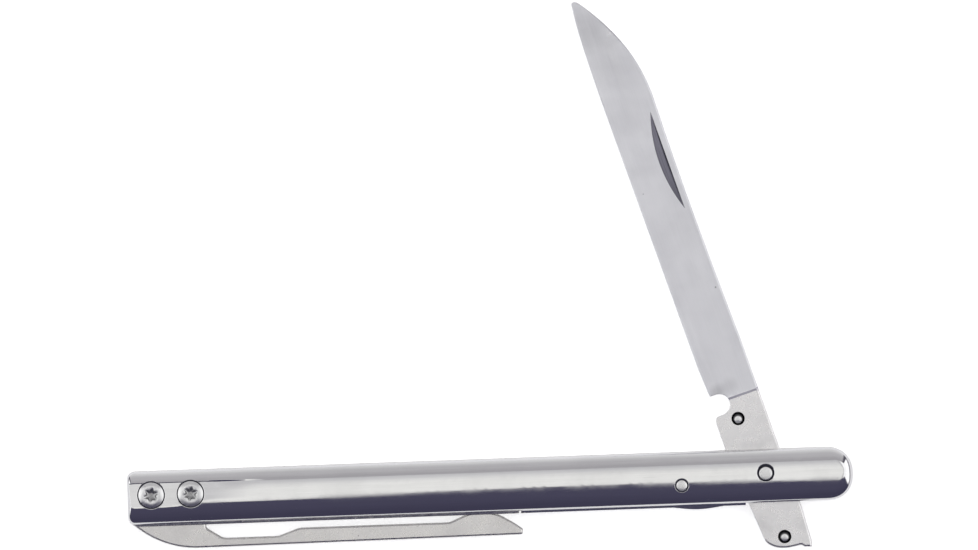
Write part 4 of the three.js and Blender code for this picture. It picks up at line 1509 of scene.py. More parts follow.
@dataclass
class Liners:
    """The two liner plates, the front one's lip and the lock arm cut from it."""

    thickness: float = 0.5
    grow: float = 0.02
    edge: float = 0.06
    lip_edge: float = 0.1
    lip_slant: float = 0.16
    slant_from: float = 0.3
    slant_run: float = 1.2
    slant_span: tuple[int, int] = (-119, 118)
    slant_rows: Grid = (0.02, -0.02, -0.14, -0.28, -0.42, -0.6, -0.8)
    corner_cut: Point = (-59.9, -4.3)
    lip_below: float = 0.01
    arm_below: float = 0.05
    grid: Grid = (-58, 58, -2.6, 3.4, 5, 3)
    bore_edge: float = 0.03
    bore_steps: int = 40
    lip_start: float = -59.95
    lip_round: float = 0.35
    arm_root: float = 5.0
    arm_end: float = 42.9
    arm_width: float = 1.4
    shoulder_width: float = 1.1
    shoulder_length: float = 6.0
    neck_width: float = 0.55
    neck_length: float = 7.85
    gap: float = 0.3
    bulge_x: float = 34.9
    bulge_length: float = 8.4
    bulge_depth: float = 0.6
    bulge_round: float = 18.0
    sleeve_bore: float = 1.76
    pivot_bore: float = 1.28
    stop_bore: float = 0.78
    detent: float = 0.85

    def top(self, x: float, y: float) -> float:
        """Height of the front liner's face, which slants down along the lip."""
        return self.thickness - self.lip_slant * min(max(LAYOUT.rim_y + self.slant_from - y, 0.0), self.slant_run)

    def holes(self) -> list[Rim]:
        """The bores of both liners.

        Returns:
            The rims, as holes.
        """
        centres = [((x, LAYOUT.screw_y), self.sleeve_bore) for x in LAYOUT.screws]
        centres += [(LAYOUT.pivot, self.pivot_bore), (LAYOUT.stop, self.stop_bore)]
        centres.append((LAYOUT.blade_in_handle(LAYOUT.tang_ball, OPEN_ANGLE), self.detent))
        centres.append((LAYOUT.blade_in_handle(LAYOUT.tail_ball, CLOSED_ANGLE), self.detent))
        loops = [circle(centre, radius, self.bore_steps) for centre, radius in centres]
        return [Rim(loop, self.bore_edge, 2, hole=True) for loop in loops]

    def slant_samples(self) -> list[Point]:
        """Inner points on both sides of the line where the lip's slant starts, and down the slant."""
        y = LAYOUT.rim_y + self.slant_from
        return [(i / 2, y + row) for i in range(*self.slant_span) for row in self.slant_rows]

    def arm_tops(self, gap: float) -> list[Triple]:
        """Corners of the arm's upper contour from its free end back to its root, or of its room's with a gap.

        Args:
            gap: the room beside the arm.

        Returns:
            Corners with their radii.
        """
        top = lambda width: LAYOUT.lip_y + width + gap
        neck = self.arm_end - self.neck_length
        shoulder = neck - (self.shoulder_width - self.neck_width)
        heel = shoulder - self.shoulder_length
        return [
            (neck, top(self.neck_width), 0),
            (shoulder, top(self.shoulder_width), 0),
            (heel, top(self.shoulder_width), 0),
            (heel - (self.arm_width - self.shoulder_width), top(self.arm_width), 0),
            (self.arm_root - gap, top(self.arm_width), 0),
        ]

    def full_outline(self) -> list[Point]:
        """The shells' outline, grown a little."""
        return Handle(length=Handle.length + 2 * self.grow, width=Handle.width + 2 * self.grow).level_line(0)

    def front_outline(self) -> list[Point]:
        """The front liner's outline, with its lip and the lock arm's room.

        Returns:
            The loop.
        """
        full = self.full_outline()
        base = min(y for _, y in full)
        turn = [p for p in full if p[1] <= base + 1e-6 and p[0] > self.arm_end + self.gap]
        cut_x, cut_y = self.corner_cut
        upper = [p for p in full if p[1] > base + 1e-6 and not (p[0] < cut_x and p[1] < cut_y)]
        lip = rounded([
            (self.lip_start, LAYOUT.rim_y + self.slant_from, 0),
            (self.lip_start, LAYOUT.lip_y, self.lip_round),
            (self.arm_root - self.gap, LAYOUT.lip_y, 0),
        ], 12)
        room = [(x, y) for x, y, _ in reversed(self.arm_tops(self.gap))]
        end = self.arm_end + self.gap
        room += [(end, LAYOUT.lip_y + self.neck_width + self.gap), (end, base)]
        return upper + lip + room + sorted(turn)

    def arm_outline(self) -> list[Point]:
        """The lock arm's outline with its thumb bulge.

        Returns:
            The loop.
        """
        low, small = LAYOUT.lip_y, self.neck_width / 3
        reach = self.bulge_length / 2
        return rounded([
            (self.arm_root, low, 0),
            (self.bulge_x - reach, low, reach),
            (self.bulge_x, low - self.bulge_depth, self.bulge_round),
            (self.bulge_x + reach, low, reach),
            (self.arm_end, low, small),
            (self.arm_end, low + self.neck_width, small),
            *self.arm_tops(0),
        ], 1.5)

    def build(self, finishes: Finishes) -> list[Piece]:
        """Makes the liners and the lock arm in place of the solids.

        Args:
            finishes: the knife's materials.

        Returns:
            Front liner, rear liner and lock arm.
        """
        worn = lambda x, y: self.lip_edge if y < LAYOUT.rim_y - self.lip_below else self.edge
        inner = lattice(*self.grid)
        rims = [Rim(self.front_outline(), worn, 5), *self.holes()]
        front = plate(rims, inner + self.slant_samples(), self.top)
        full = self.full_outline()
        rims = [Rim(full, self.edge, 2), *self.holes()]
        rear = plate(rims, inner, lambda x, y: self.thickness)
        arm_worn = lambda x, y: self.lip_edge if y < LAYOUT.lip_y + self.arm_below else self.edge
        arm = plate([Rim(self.arm_outline(), arm_worn, 5)], self.slant_samples(), self.top)
        made = []
        for solid, name, z, finish, body, slot, node in (
            (front, "front_liner_plate", LAYOUT.front_liner_z, "satin plate", "handle", "satin_steel", "front_liner"),
            (rear, "rear_liner_plate", LAYOUT.rear_liner_z, "satin plate", "handle", "satin_steel", "rear_liner"),
            (arm, "lock_arm_spring", LAYOUT.front_liner_z, "spring steel", "lock_arm", "spring_steel", "lock_arm"),
        ):
            obj = solid.build(name, Matrix.Translation((0, 0, z)))
            finishes.dress(obj, finish)
            install(obj, body, slot, node)
            made.append(obj)
        return made


@dataclass
class PocketClip:
    """The flat plate clip, whose root is the spacer between the liners."""

    butt: float = -60.95
    length: float = 66.2
    depth: float = 3.94
    drop: float = 0.37
    heel_start: float = 0.42
    heel_round: float = 16.0
    heel_from_butt: float = 6.15
    root_drop: float = 0.95
    neck_top: float = 2.75
    neck_run: float = 12.1
    arm_top: float = 1.5
    root_slope: float = 2.8
    step: float = 3.6
    bump_from_tip: float = 6.49
    bump_lead: float = 5.81
    bump_peak: float = 1.02
    bump_round: float = 7.4
    tip_height: float = 0.95
    brow: Triple = (1.65, 1.83, 12.0)
    corner: float = 0.4
    bend: float = 2.5
    edge: float = 0.36
    thickness: float = 2.4
    bore: float = 1.76
    bore_edge: float = 0.05
    bore_steps: int = 48
    butt_round: float = 1.1
    top_room: float = 0.15

    def outline(self) -> list[Point]:
        """The clip's contour.

        Returns:
            The loop.
        """
        rim = LAYOUT.rim_y
        top = -rim - self.top_room
        tip = self.butt + self.length
        bottom = rim - self.depth
        bump = tip - self.bump_from_tip
        root = LAYOUT.clip_root
        return rounded([
            (self.butt, top, self.butt_round),
            (self.butt, rim + self.heel_start, self.corner),
            (self.butt + self.heel_from_butt, bottom - self.drop, self.heel_round),
            (tip, bottom, self.corner),
            (tip, bottom + self.tip_height, self.corner),
            (tip - self.brow[0], rim - self.brow[1], self.brow[2]),
            (bump, rim + self.bump_peak, self.bump_round),
            (bump - self.bump_lead, rim - self.arm_top, self.bend),
            (root + self.neck_run + self.step, rim - self.arm_top, self.bend),
            (root + self.neck_run, rim - self.neck_top, self.bend),
            (root + self.root_slope, rim - self.neck_top, self.bend),
            (root, rim - self.root_drop, self.corner),
            (root, top, 0),
        ], 1.5)

    def build(self, finishes: Finishes) -> Piece:
        """Makes the clip in place of the solid.

        Args:
            finishes: the knife's materials.

        Returns:
            The clip.
        """
        rims = [Rim(self.outline(), self.edge, 5)]
        bores = [circle((x, LAYOUT.screw_y), self.bore, self.bore_steps) for x in LAYOUT.screws]
        rims += [Rim(bore, self.bore_edge, 2, hole=True) for bore in bores]
        solid = plate(rims, [], lambda x, y: self.thickness)
        obj = solid.build("pocket_clip_plate", Matrix.Translation((0, 0, LAYOUT.slot_z)))
        finishes.dress(obj, "tumbled clip")
        install(obj, "handle", "satin_steel", "pocket_clip")
        return obj


@dataclass
class Blade:
    """Blade, tang and lever tail in one piece; u runs to the tip, v to the cutting edge."""

    tip: Point = (85.58, 3.97)
    tip_round: float = 0.35
    point_length: float = 19.6
    belly: Point = (6.1, 4.97)
    lead: float = 7.5
    edge_sweep: float = 5.6
    edge_v: float = 4.93
    heel_v: float = 4.73
    heel_rise: float = 0.27
    heel_length: float = 5.0
    spine_v: float = 3.72
    sway: float = 0.4
    sway_length: float = 43.0
    tang_edge: float = 4.95
    tang_waist: float = 4.6
    swell: Point = (3.0, 5.8)
    tang_corner: Point = (1.1, 0.55)
    notch_radius: float = 1.8
    notch_bearing: float = 128.1
    stop_room: float = 0.8
    plunge_from_notch: float = 0.22
    plunge_run: float = 0.45
    grind_start: float = 0.9
    grind_edge: float = 0.17
    grind_along: float = 0.0012
    edge_half: float = 0.03
    spine_edge: float = 0.34
    tail_break: float = 0.4
    tang_break: float = 0.08
    micro_slope: float = 0.85
    micro_width: float = 0.08
    bevel_slope: float = 0.55
    nick_from_tip: float = 30.4
    nick_length: float = 17.3
    nick_width: float = 1.5
    nick_depth: float = 0.45
    nick_from_spine: float = 1.47
    tail_spine: float = 3.9
    tail_edge: float = 3.8
    tail_round: float = 2.3
    tail_lean: float = 0.35
    tail_rise: float = 1.0
    tail_reach: float = 13.31
    hook_length: float = 0.15
    hook_drop: float = 2.0
    hook_width: float = 3.3
    hook_taper: float = 0.2
    hook_round: float = 0.4
    half: float = 1.0
    ball_hole: float = 1.12
    pivot_bore: float = 1.63
    ball_radius: float = 1.19
    ball_flat: float = 0.62
    ball_cap: Point = (1.012, 1.06)
    ball_arc: int = 58
    ball_room: float = 1.3
    # Place and softness of the painted highlight on the ball caps
    highlight_shift_y: float = 0.17
    highlight_edge: Point = (0.5, 0.72)
    bore_edge: float = 0.05
    bore_steps: int = 48
    hole_edge: float = 0.03
    hole_steps: int = 56
    bevel_from: float = 2.5
    bevel_guess: float = 0.25
    micro_beside: float = 0.015
    bevel_beside: Triple = (-0.02, 0.02, 0.1)
    sharp_above: float = 4.25
    point_from: float = 60.0
    point_taper: float = 0.06
    point_ahead: float = 0.4
    tail_from: float = -11.0
    plunge_band: Point = (0.02, 0.36)
    nick_steps: int = 48
    nick_rows: Grid = (0, 0.12, 0.25, 0.4, 0.55, 0.7, 0.85, 1.0)
    grids: tuple[Grid, ...] = (
        (-12, 12, -3, 3, 3, 1.5), (16, 84, -3, 4.2, 4, 1.2), (-12.9, -9.5, -3.5, 3.4, 0.3, 0.3),
    )
    plunge_grids: tuple[Grid, ...] = (
        (-0.02, 0.47, -3.6, 3.2, 0.06, 0.35), (0.6, 3.0, -3.5, 3.4, 0.6, 0.5), (1.2, 4.2, 2.5, 4.6, 0.12, 0.12),
    )
    edge_line: list[Point] = field(default_factory=list)
    to_edge: BVHTree | None = None

    @property
    def notch(self) -> Point:
        """The notch's centre."""
        return polar(LAYOUT.stop_in_blade(CLOSED_ANGLE), self.notch_radius - self.stop_room, self.notch_bearing)

    @property
    def micro_lift(self) -> float:
        """How much the honed edge raises the bevel above it."""
        return (self.micro_slope - self.bevel_slope) * self.micro_width

    @property
    def plunge(self) -> float:
        """Where the grind begins."""
        return self.notch[0] + self.plunge_from_notch

    def outline(self) -> list[Point]:
        """The contour from the tip along the spine, round the tail and back along the cutting edge.

        Returns:
            The loop.
        """
        (tu, tv), r = self.tip, self.tip_round
        spine = (tu - self.point_length, self.sway / 3 - self.spine_v)
        sway = lambda share, rise: (spine[0] - share * self.sway_length, rise * self.sway - self.spine_v)
        line = [self.tip]
        line += bezier([self.tip, (tu + r / 4, tv - r), (tu - r, tv - 2.5 * r)], 8)
        belly = (tu - self.belly[0], tv - self.belly[1])
        line += bezier([line[-1], belly, (spine[0] + self.lead, spine[1]), spine], 60)
        line += bezier([spine, sway(1 / 3, 1.3), sway(2 / 3, 0.8), sway(1, 0)], 40)
        line.append((0, -self.spine_v))

        stop = LAYOUT.stop_in_blade(OPEN_ANGLE)
        hook = (stop[0] - self.hook_length, stop[1] - self.hook_drop)
        line += [(hook[0] / 2, -self.tail_spine), (hook[0] + self.hook_width, self.hook_taper - self.tail_spine)]
        line += bezier([line[-1], (hook[0] + self.hook_round, hook[1] - self.hook_round), hook], 12)
        line += [polar(stop, self.stop_room, lerp(-68, 10, i / 16)) for i in range(17)]
        line.append((-self.tail_reach, stop[1] + self.tail_rise))
        bend = (self.tail_lean - self.tail_reach, self.tail_edge - self.tail_rise)
        line += bezier([line[-1], bend, (self.tail_round - self.tail_reach, self.tail_edge)], 16)

        line += [(0, self.tang_waist), (self.swell[0], self.tang_waist), (self.swell[1], self.tang_edge)]
        low, high, top = self.notch[0] - self.notch_radius, self.notch[0] + self.notch_radius, self.tang_edge
        line.append((low - self.tang_corner[0], top))
        line += bezier([line[-1], (low - self.tang_corner[0] / 3, top), (low, top - self.tang_corner[1])], 8)
        line += [polar(self.notch, self.notch_radius, lerp(180, 360, i / 40)) for i in range(41)]
        first, heel = len(line), high + self.heel_length
        line += [(high, self.heel_v - self.heel_rise), (heel, self.heel_v)]
        line += [(lerp(heel, spine[0], i / 24), lerp(self.heel_v, self.edge_v, i / 24)) for i in range(1, 25)]
        line += bezier([line[-1], (tu - self.edge_sweep, self.edge_v), (tu - 3 * r, tv + r)], 40)
        self.edge_line = line[first:]
        self.to_edge = nearness(self.edge_line, closed=False)
        return line + bezier([line[-1], (tu, tv + r), self.tip], 6)[:-1]

    def ground(self, u: float, v: float) -> float:
        """Half thickness of the ground face."""
        across = (self.grind_start - self.grind_edge) / (self.spine_v + self.edge_v)
        return self.grind_start - across * (v + self.spine_v) - self.grind_along * (u - self.plunge)

    def front(self, u: float, v: float) -> float:
        """Half thickness of the finished blade: tang, plunge, ground face and the edge's bevel.

        Args:
            u: place along the blade.
            v: place across it.

        Returns:
            The height above mid thickness.
        """
        body = lerp(self.half, self.ground(u, v), smooth(self.plunge, self.plunge + self.plunge_run, u))
        if u < self.plunge or v < self.bevel_from:
            return body
        away = self.to_edge.find_nearest((u, v, 0))[3]
        bevel = self.edge_half + self.bevel_slope * away + self.micro_lift
        return min(body, bevel, self.edge_half + self.micro_slope * away)

    def samples(self) -> list[Point]:
        """Inner points: close at the plunge and along the bevel's upper border.

        Returns:
            The points.
        """
        points = [p for grid in self.grids for p in lattice(*grid)]
        for start, end, *rest in self.plunge_grids:
            points += lattice(self.plunge + start, self.plunge + end, *rest)
        return points

    def bevel_lines(self) -> list[list[Point]]:
        """Lines along both borders of the honed edge and of the bevel above it.

        Returns:
            The lines' points.
        """
        line = divide(self.edge_line)
        line = line[:line.index(self.edge_line[-1]) + 1]
        lines: list[list[Point]] = [[] for _ in range(5)]
        for (u, v), out in list(zip(line, rim_normals(line)))[1:-1]:
            width = self.bevel_guess
            for _ in range(4):
                rise = self.ground(u - out.x * width, v - out.y * width) - self.edge_half - self.micro_lift
                width = rise / self.bevel_slope
            rooms = [self.micro_width - self.micro_beside, self.micro_width + self.micro_beside]
            rooms += [width + beside for beside in self.bevel_beside]
            for row, room in zip(lines, rooms):
                row.append((u - out.x * room, v - out.y * room))
        return lines

    def nick(self, i: int, steps: int, across: float) -> Triple:
        """A point of the nick's floor, from its straight wall at 0 to its curved rim at 1.

        Args:
            i: number along the nick.
            steps: the last number.
            across: share of the way over.

        Returns:
            The place and its height.
        """
        along = 2 * i / steps - 1
        share = 1 - along * along
        u = self.tip[0] - self.nick_from_tip + along * self.nick_length / 2
        v = self.nick_from_spine - self.spine_v + self.nick_width * share * across
        deep = self.nick_depth * share * (1 - across) ** 1.25
        return u, v, self.ground(u, v) - deep

    def solid(self) -> Solid:
        """The whole blade, z = 0 at mid thickness.

        Returns:
            The closed solid.
        """
        outline = self.outline()
        high = self.notch[0] + self.notch_radius
        cutting = lambda u, v: u > high - SLIVER and v > self.sharp_above
        end = self.tip[0] + self.point_ahead
        spine = lambda u: min(self.spine_edge, self.edge_half + self.point_taper * (end - u))
        body = lambda u, v: spine(u) if v < 0 or u > self.point_from else self.tang_break
        edge = lambda u, v: self.tail_break if u < self.tail_from else body(u, v)
        steps = self.nick_steps
        straight = [self.nick(i, steps, 0)[:2] for i in range(steps + 1)]
        curved = [self.nick(i, steps, 1)[:2] for i in range(steps - 1, 0, -1)]
        balls = (LAYOUT.tang_ball, LAYOUT.tail_ball)
        round_holes = [
            Rim(circle((0, 0), self.pivot_bore, self.bore_steps), self.bore_edge, 2, hole=True),
            *(Rim(circle(ball, self.ball_hole, self.hole_steps), self.hole_edge, 3, hole=True) for ball in balls),
        ]
        rims = [Rim(outline, edge, 4, sharp=cutting), *round_holes]
        samples, bevel = self.samples(), self.bevel_lines()
        upper = face_of([*rims, plain(straight + curved, True)], samples, self.front, bevel)
        nickless = face_of(rims, samples, self.front, bevel)
        lower = nickless.under()
        # Slot 4, the band just past the plunge, is painted shade on the plunge's slope
        tang_end, plunge_end = (self.plunge + width for width in self.plunge_band)
        finish = lambda u, v: 1 if u < tang_end else 4 if u < plunge_end else 0
        solid = Solid()
        solid.add_face(upper, finish)
        solid.add_face(lower, finish)
        self.add_nick(solid)
        in_hole = lambda u, v: min(math.dist((u, v), ball) for ball in balls) < self.ball_room
        # Ball-hole walls take slot 3, the near-black recess finish, as painted shade
        solid.add_walls(nickless, lower, lambda u, v: 3 if in_hole(u, v) else finish(u, v))
        return solid

    def add_nick(self, solid: Solid) -> None:
        """Adds the nick's floor and its steep wall.

        Args:
            solid: the blade so far.
        """
        steps, across = self.nick_steps, self.nick_rows
        place = lambda i, t: Vector(self.nick(i, steps, t))
        # Slot 2 is the nick's painted shade, on its floor and its steep wall
        for i in range(steps):
            for t0, t1 in zip(across, across[1:]):
                corners = [place(i, t0), place(i + 1, t0), place(i + 1, t1), place(i, t1)]
                normals = []
                for a, t in ((i, t0), (i + 1, t0), (i + 1, t1), (i, t1)):
                    a, t = min(max(a, 0.5), steps - 0.5), min(max(t, 0.02), 0.98)
                    du = place(a + 0.2, t) - place(a - 0.2, t)
                    dv = place(a, t + 0.02) - place(a, t - 0.02)
                    normals.append(du.cross(dv).normalized())
                solid.add(corners, normals, 2)
            low, high = place(i, 0), place(i + 1, 0)
            top = [Vector((p.x, p.y, self.ground(p.x, p.y))) for p in (low, high)]
            solid.add([top[0], top[1], high, low], [Vector((0, 1, 0))] * 4, 2)

    def build(self, finishes: Finishes, row: bpy.types.GeometryNodeTree) -> list[Piece]:
        """Makes the blade and its two balls in place of the solids.

        Args:
            finishes: the knife's materials.
            row: the tree that repeats a piece.

        Returns:
            The blade and the balls.
        """
        blade = self.solid().build("blade_ground", LAYOUT.blade_matrix())
        # Slots 2, 3 and 4 are painted shade: in the nick, in the ball holes and on the plunge's slope
        finishes.dress(blade, "ground blade", "satin tang", "milled nick", "oiled recess", "plunge cut")
        install(blade, "blade", "brushed_steel", "blade")

        side = [polar((0, 0), self.ball_radius, a) for a in range(-self.ball_arc, self.ball_arc + 1, 4)]
        shares = [1 - i / 8 for i in range(9)]
        cap = [(self.ball_flat * share, lerp(*self.ball_cap, 1 - share**2)) for share in shares]
        profile = [(r, -z) for r, z in reversed(cap)] + side + cap
        ball = turned(profile, 48).build("ball_template", crease=60)
        clean = ball.data.attributes.new("clean", "FLOAT", "POINT")
        # Painted light on the balls: 1 on a cap shifted towards -Y as a painted highlight, falling to 0 round it and on
        # the middle band as painted shade in the hole
        for i, vertex in enumerate(ball.data.vertices):
            x, y, z = (v / MM for v in vertex.co)
            from_cap = math.hypot(x, y + self.highlight_shift_y)
            clean.data[i].value = (1 - smooth(*self.highlight_edge, from_cap)) if abs(z) > self.half / 2 else 0.0
        first = LAYOUT.blade_in_handle(LAYOUT.tang_ball)
        last = LAYOUT.blade_in_handle(LAYOUT.tail_ball)
        step = (last[0] - first[0], last[1] - first[1], 0)
        balls = Row(ball, 2, (*first, LAYOUT.mid_z), step).build("detent_balls", row, finishes.made["detent ball"])
        install(balls, "blade", "bearing_steel", "blade_detent_ball", "tail_detent_ball")
        discard(ball)
        return [blade, balls]


@dataclass
class Fasteners:
    """Screws and sleeves, pivot pin and washers, and the stop pin."""

    head: float = 2.13
    head_height: float = 0.8
    dome_from: float = 1.34
    dome_drop: float = 0.2
    shank: float = 1.25
    reach: float = 2.4
    socket: float = 1.0
    mouth: float = 0.13
    bowl: float = 0.3
    chamfer: float = 0.15
    head_edge: float = 0.05
    lobe: float = 0.17
    lobe_turn: float = 18.0
    socket_depth: float = 0.6
    # Radius, depth below the top and colour share of the painted shade in the socket
    socket_shade: Triple = (1.05, 0.1, 0.42)
    front_seat_z: float = 6.55
    rear_seat_z: float = 0.85
    sleeve: float = 1.73
    sleeve_bore: float = 1.28
    sleeve_half: float = 2.15
    sleeve_edge: float = 0.08
    washer: float = 3.2
    washer_bore: float = 1.63
    washer_height: float = 0.2
    washer_edge: float = 0.04
    crease: float = 28.0
    barrel: float = 1.6
    barrel_edge: float = 0.05
    pin_end: float = 1.17
    pin_top: float = 3.35
    pin_edge: float = 0.16
    pin_dome: Triple = (0.6, 0.015, 0.02)
    shoulder: float = 1.2
    stop_radius: float = 0.75
    stop_head: float = 0.93
    stop_under: float = 3.3
    stop_top: float = 3.7
    stop_edge: float = 0.14
    stop_dome: float = 0.03
    stop_flat: float = 0.4

    def screw(self) -> Solid:
        """A button-head screw with a six-lobe socket, the underside of its head at z = 0.

        Returns:
            The closed solid.
        """
        top, edge = self.head_height, self.head
        profile = [(0, -self.reach), (self.shank - self.chamfer, -self.reach), (self.shank, self.chamfer - self.reach)]
        profile += [(self.shank, 0), (edge - self.head_edge, 0), (edge, self.head_edge)]
        run = edge - self.dome_from
        for i in range(13):
            share = 1 - i / 12
            profile.append((self.dome_from + run * share, top - self.dome_drop * share**2))
        lobed = len(profile)
        depth = top - self.socket_depth
        for k in range(4):
            lean = k * math.pi / 6
            mouth = self.socket + self.mouth * (1 - math.sin(lean))
            profile.append((mouth, top - self.mouth * (1 - math.cos(lean))))
        last = len(profile) + 1
        for i in range(9):
            share = 1 - i / 8
            profile.append((lerp(self.bowl, self.socket, share), depth + self.bowl * share**2))
        profile.append((0, depth))
        wave = lambda bearing: 1 + self.lobe * math.cos(math.radians(6 * (bearing - self.lobe_turn)))
        shape = lambda k, bearing: lerp(1, wave(bearing), max(0.0, 1 - max(0, k - last) / 6)) if k >= lobed else 1
        return turned(profile, 96, shape)

    def pin(self, upper: list[Point]) -> Solid:
        """A pin that is the same both ways from mid height."""
        return turned([(r, -z) for r, z in reversed(upper)] + upper, 64)

    @staticmethod
    def ring(inner: float, outer: float, half: float, edge: float) -> Solid:
        """A flat ring with broken edges, z = 0 at mid height."""
        loop = [(inner, -half), (outer - edge, -half), (outer, edge - half), (outer, half - edge), (outer - edge, half)]
        return turned([*loop, (inner, half), (inner, -half)], 64)

    def build(self, finishes: Finishes, row: bpy.types.GeometryNodeTree) -> list[Piece]:
        """Makes every fastener in place of the solids.

        Args:
            finishes: the knife's materials.
            row: the tree that repeats a piece.

        Returns:
            The pieces.
        """
        (outer, inner), y = LAYOUT.screws, LAYOUT.screw_y
        step = (inner - outer, 0, 0)
        screw = self.screw().build("screw_template", crease=self.crease)
        clean = screw.data.attributes.new("clean", "FLOAT", "POINT")
        around, below, share = self.socket_shade
        # Painted shade in the socket: the attribute is the share inside it, darkening its colour, and 1 elsewhere
        for i, vertex in enumerate(screw.data.vertices):
            place = vertex.co / MM
            socket = place.xy.length < around and place.z < self.head_height - below
            clean.data[i].value = share if socket else 1.0
        sleeve = self.ring(self.sleeve_bore, self.sleeve, self.sleeve_half, self.sleeve_edge)
        sleeve = sleeve.build("sleeve_template", crease=self.crease)
        half = self.washer_height / 2
        washer = self.ring(self.washer_bore, self.washer, half, self.washer_edge)
        washer = washer.build("washer_template", crease=self.crease)
        between = LAYOUT.slot_height - 2 * half
        over = (math.pi, 0, 0)
        rows = (
            ("front_screws", Row(screw, 2, (outer, y, self.front_seat_z), step), "satin screw", "satin_steel",
             ("front_screw_outer", "front_screw_inner")),
            ("rear_screws", Row(screw, 2, (outer, y, self.rear_seat_z), step, over), "satin screw", "satin_steel",
             ("rear_screw_outer", "rear_screw_inner")),
            ("sleeves", Row(sleeve, 2, (outer, y, LAYOUT.mid_z), step), "inner steel", "satin_steel",
             ("sleeve_outer", "sleeve_inner")),
            ("pivot_washers", Row(washer, 2, (*LAYOUT.pivot, LAYOUT.slot_z + half), (0, 0, between)),
             "bronze washer", "bronze", ("pivot_washer_rear", "pivot_washer_front")),
        )
        made = []
        for name, pieces, finish, slot, nodes in rows:
            obj = pieces.build(name, row, finishes.made[finish])
            install(obj, "handle", slot, *nodes)
            made.append(obj)
        for template in (screw, sleeve, washer):
            discard(template)

        end, top = self.pin_end, self.pin_top
        worn = self.barrel_edge
        barrel = [(self.barrel, self.shoulder - worn), (self.barrel - worn, self.shoulder), (end, self.shoulder)]
        flat, swell, dome = self.pin_dome
        pivot = self.pin([*barrel, *quarter(end, top, self.pin_edge), (end - flat, top + swell), (0, top + dome)])
        head = [(self.stop_radius, self.stop_under), (self.stop_head, self.stop_under)]
        peened = quarter(self.stop_head, self.stop_top - self.stop_dome, self.stop_edge)
        stop = self.pin([*head, *peened, (self.stop_flat, self.stop_top), (0, self.stop_top)])
        for solid, name, place, node in (
            (pivot, "pivot_pin_turned", LAYOUT.pivot, "pivot_pin"),
            (stop, "stop_pin_peened", LAYOUT.stop, "stop_pin"),
        ):
            obj = solid.build(name, Matrix.Translation((*place, LAYOUT.mid_z)), crease=self.crease)
            finishes.dress(obj, "satin fastener")
            install(obj, "handle", "satin_steel", node)
            made.append(obj)
        return made


def install(obj: Piece, body: str, slot: str, *nodes: str) -> None:
    """Sets a piece in place of CAD nodes.

    Args:
        obj: the piece.
        body: the body that it rides on.
        slot: not used.
        nodes: the nodes that it stands for.
    """
    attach(obj, body)
    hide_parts(*nodes)


def discard(obj: Piece) -> None:
    """Removes a template and its mesh.

    Args:
        obj: the template.
    """
    mesh = obj.data
    bpy.data.objects.remove(obj)
    bpy.data.meshes.remove(mesh)


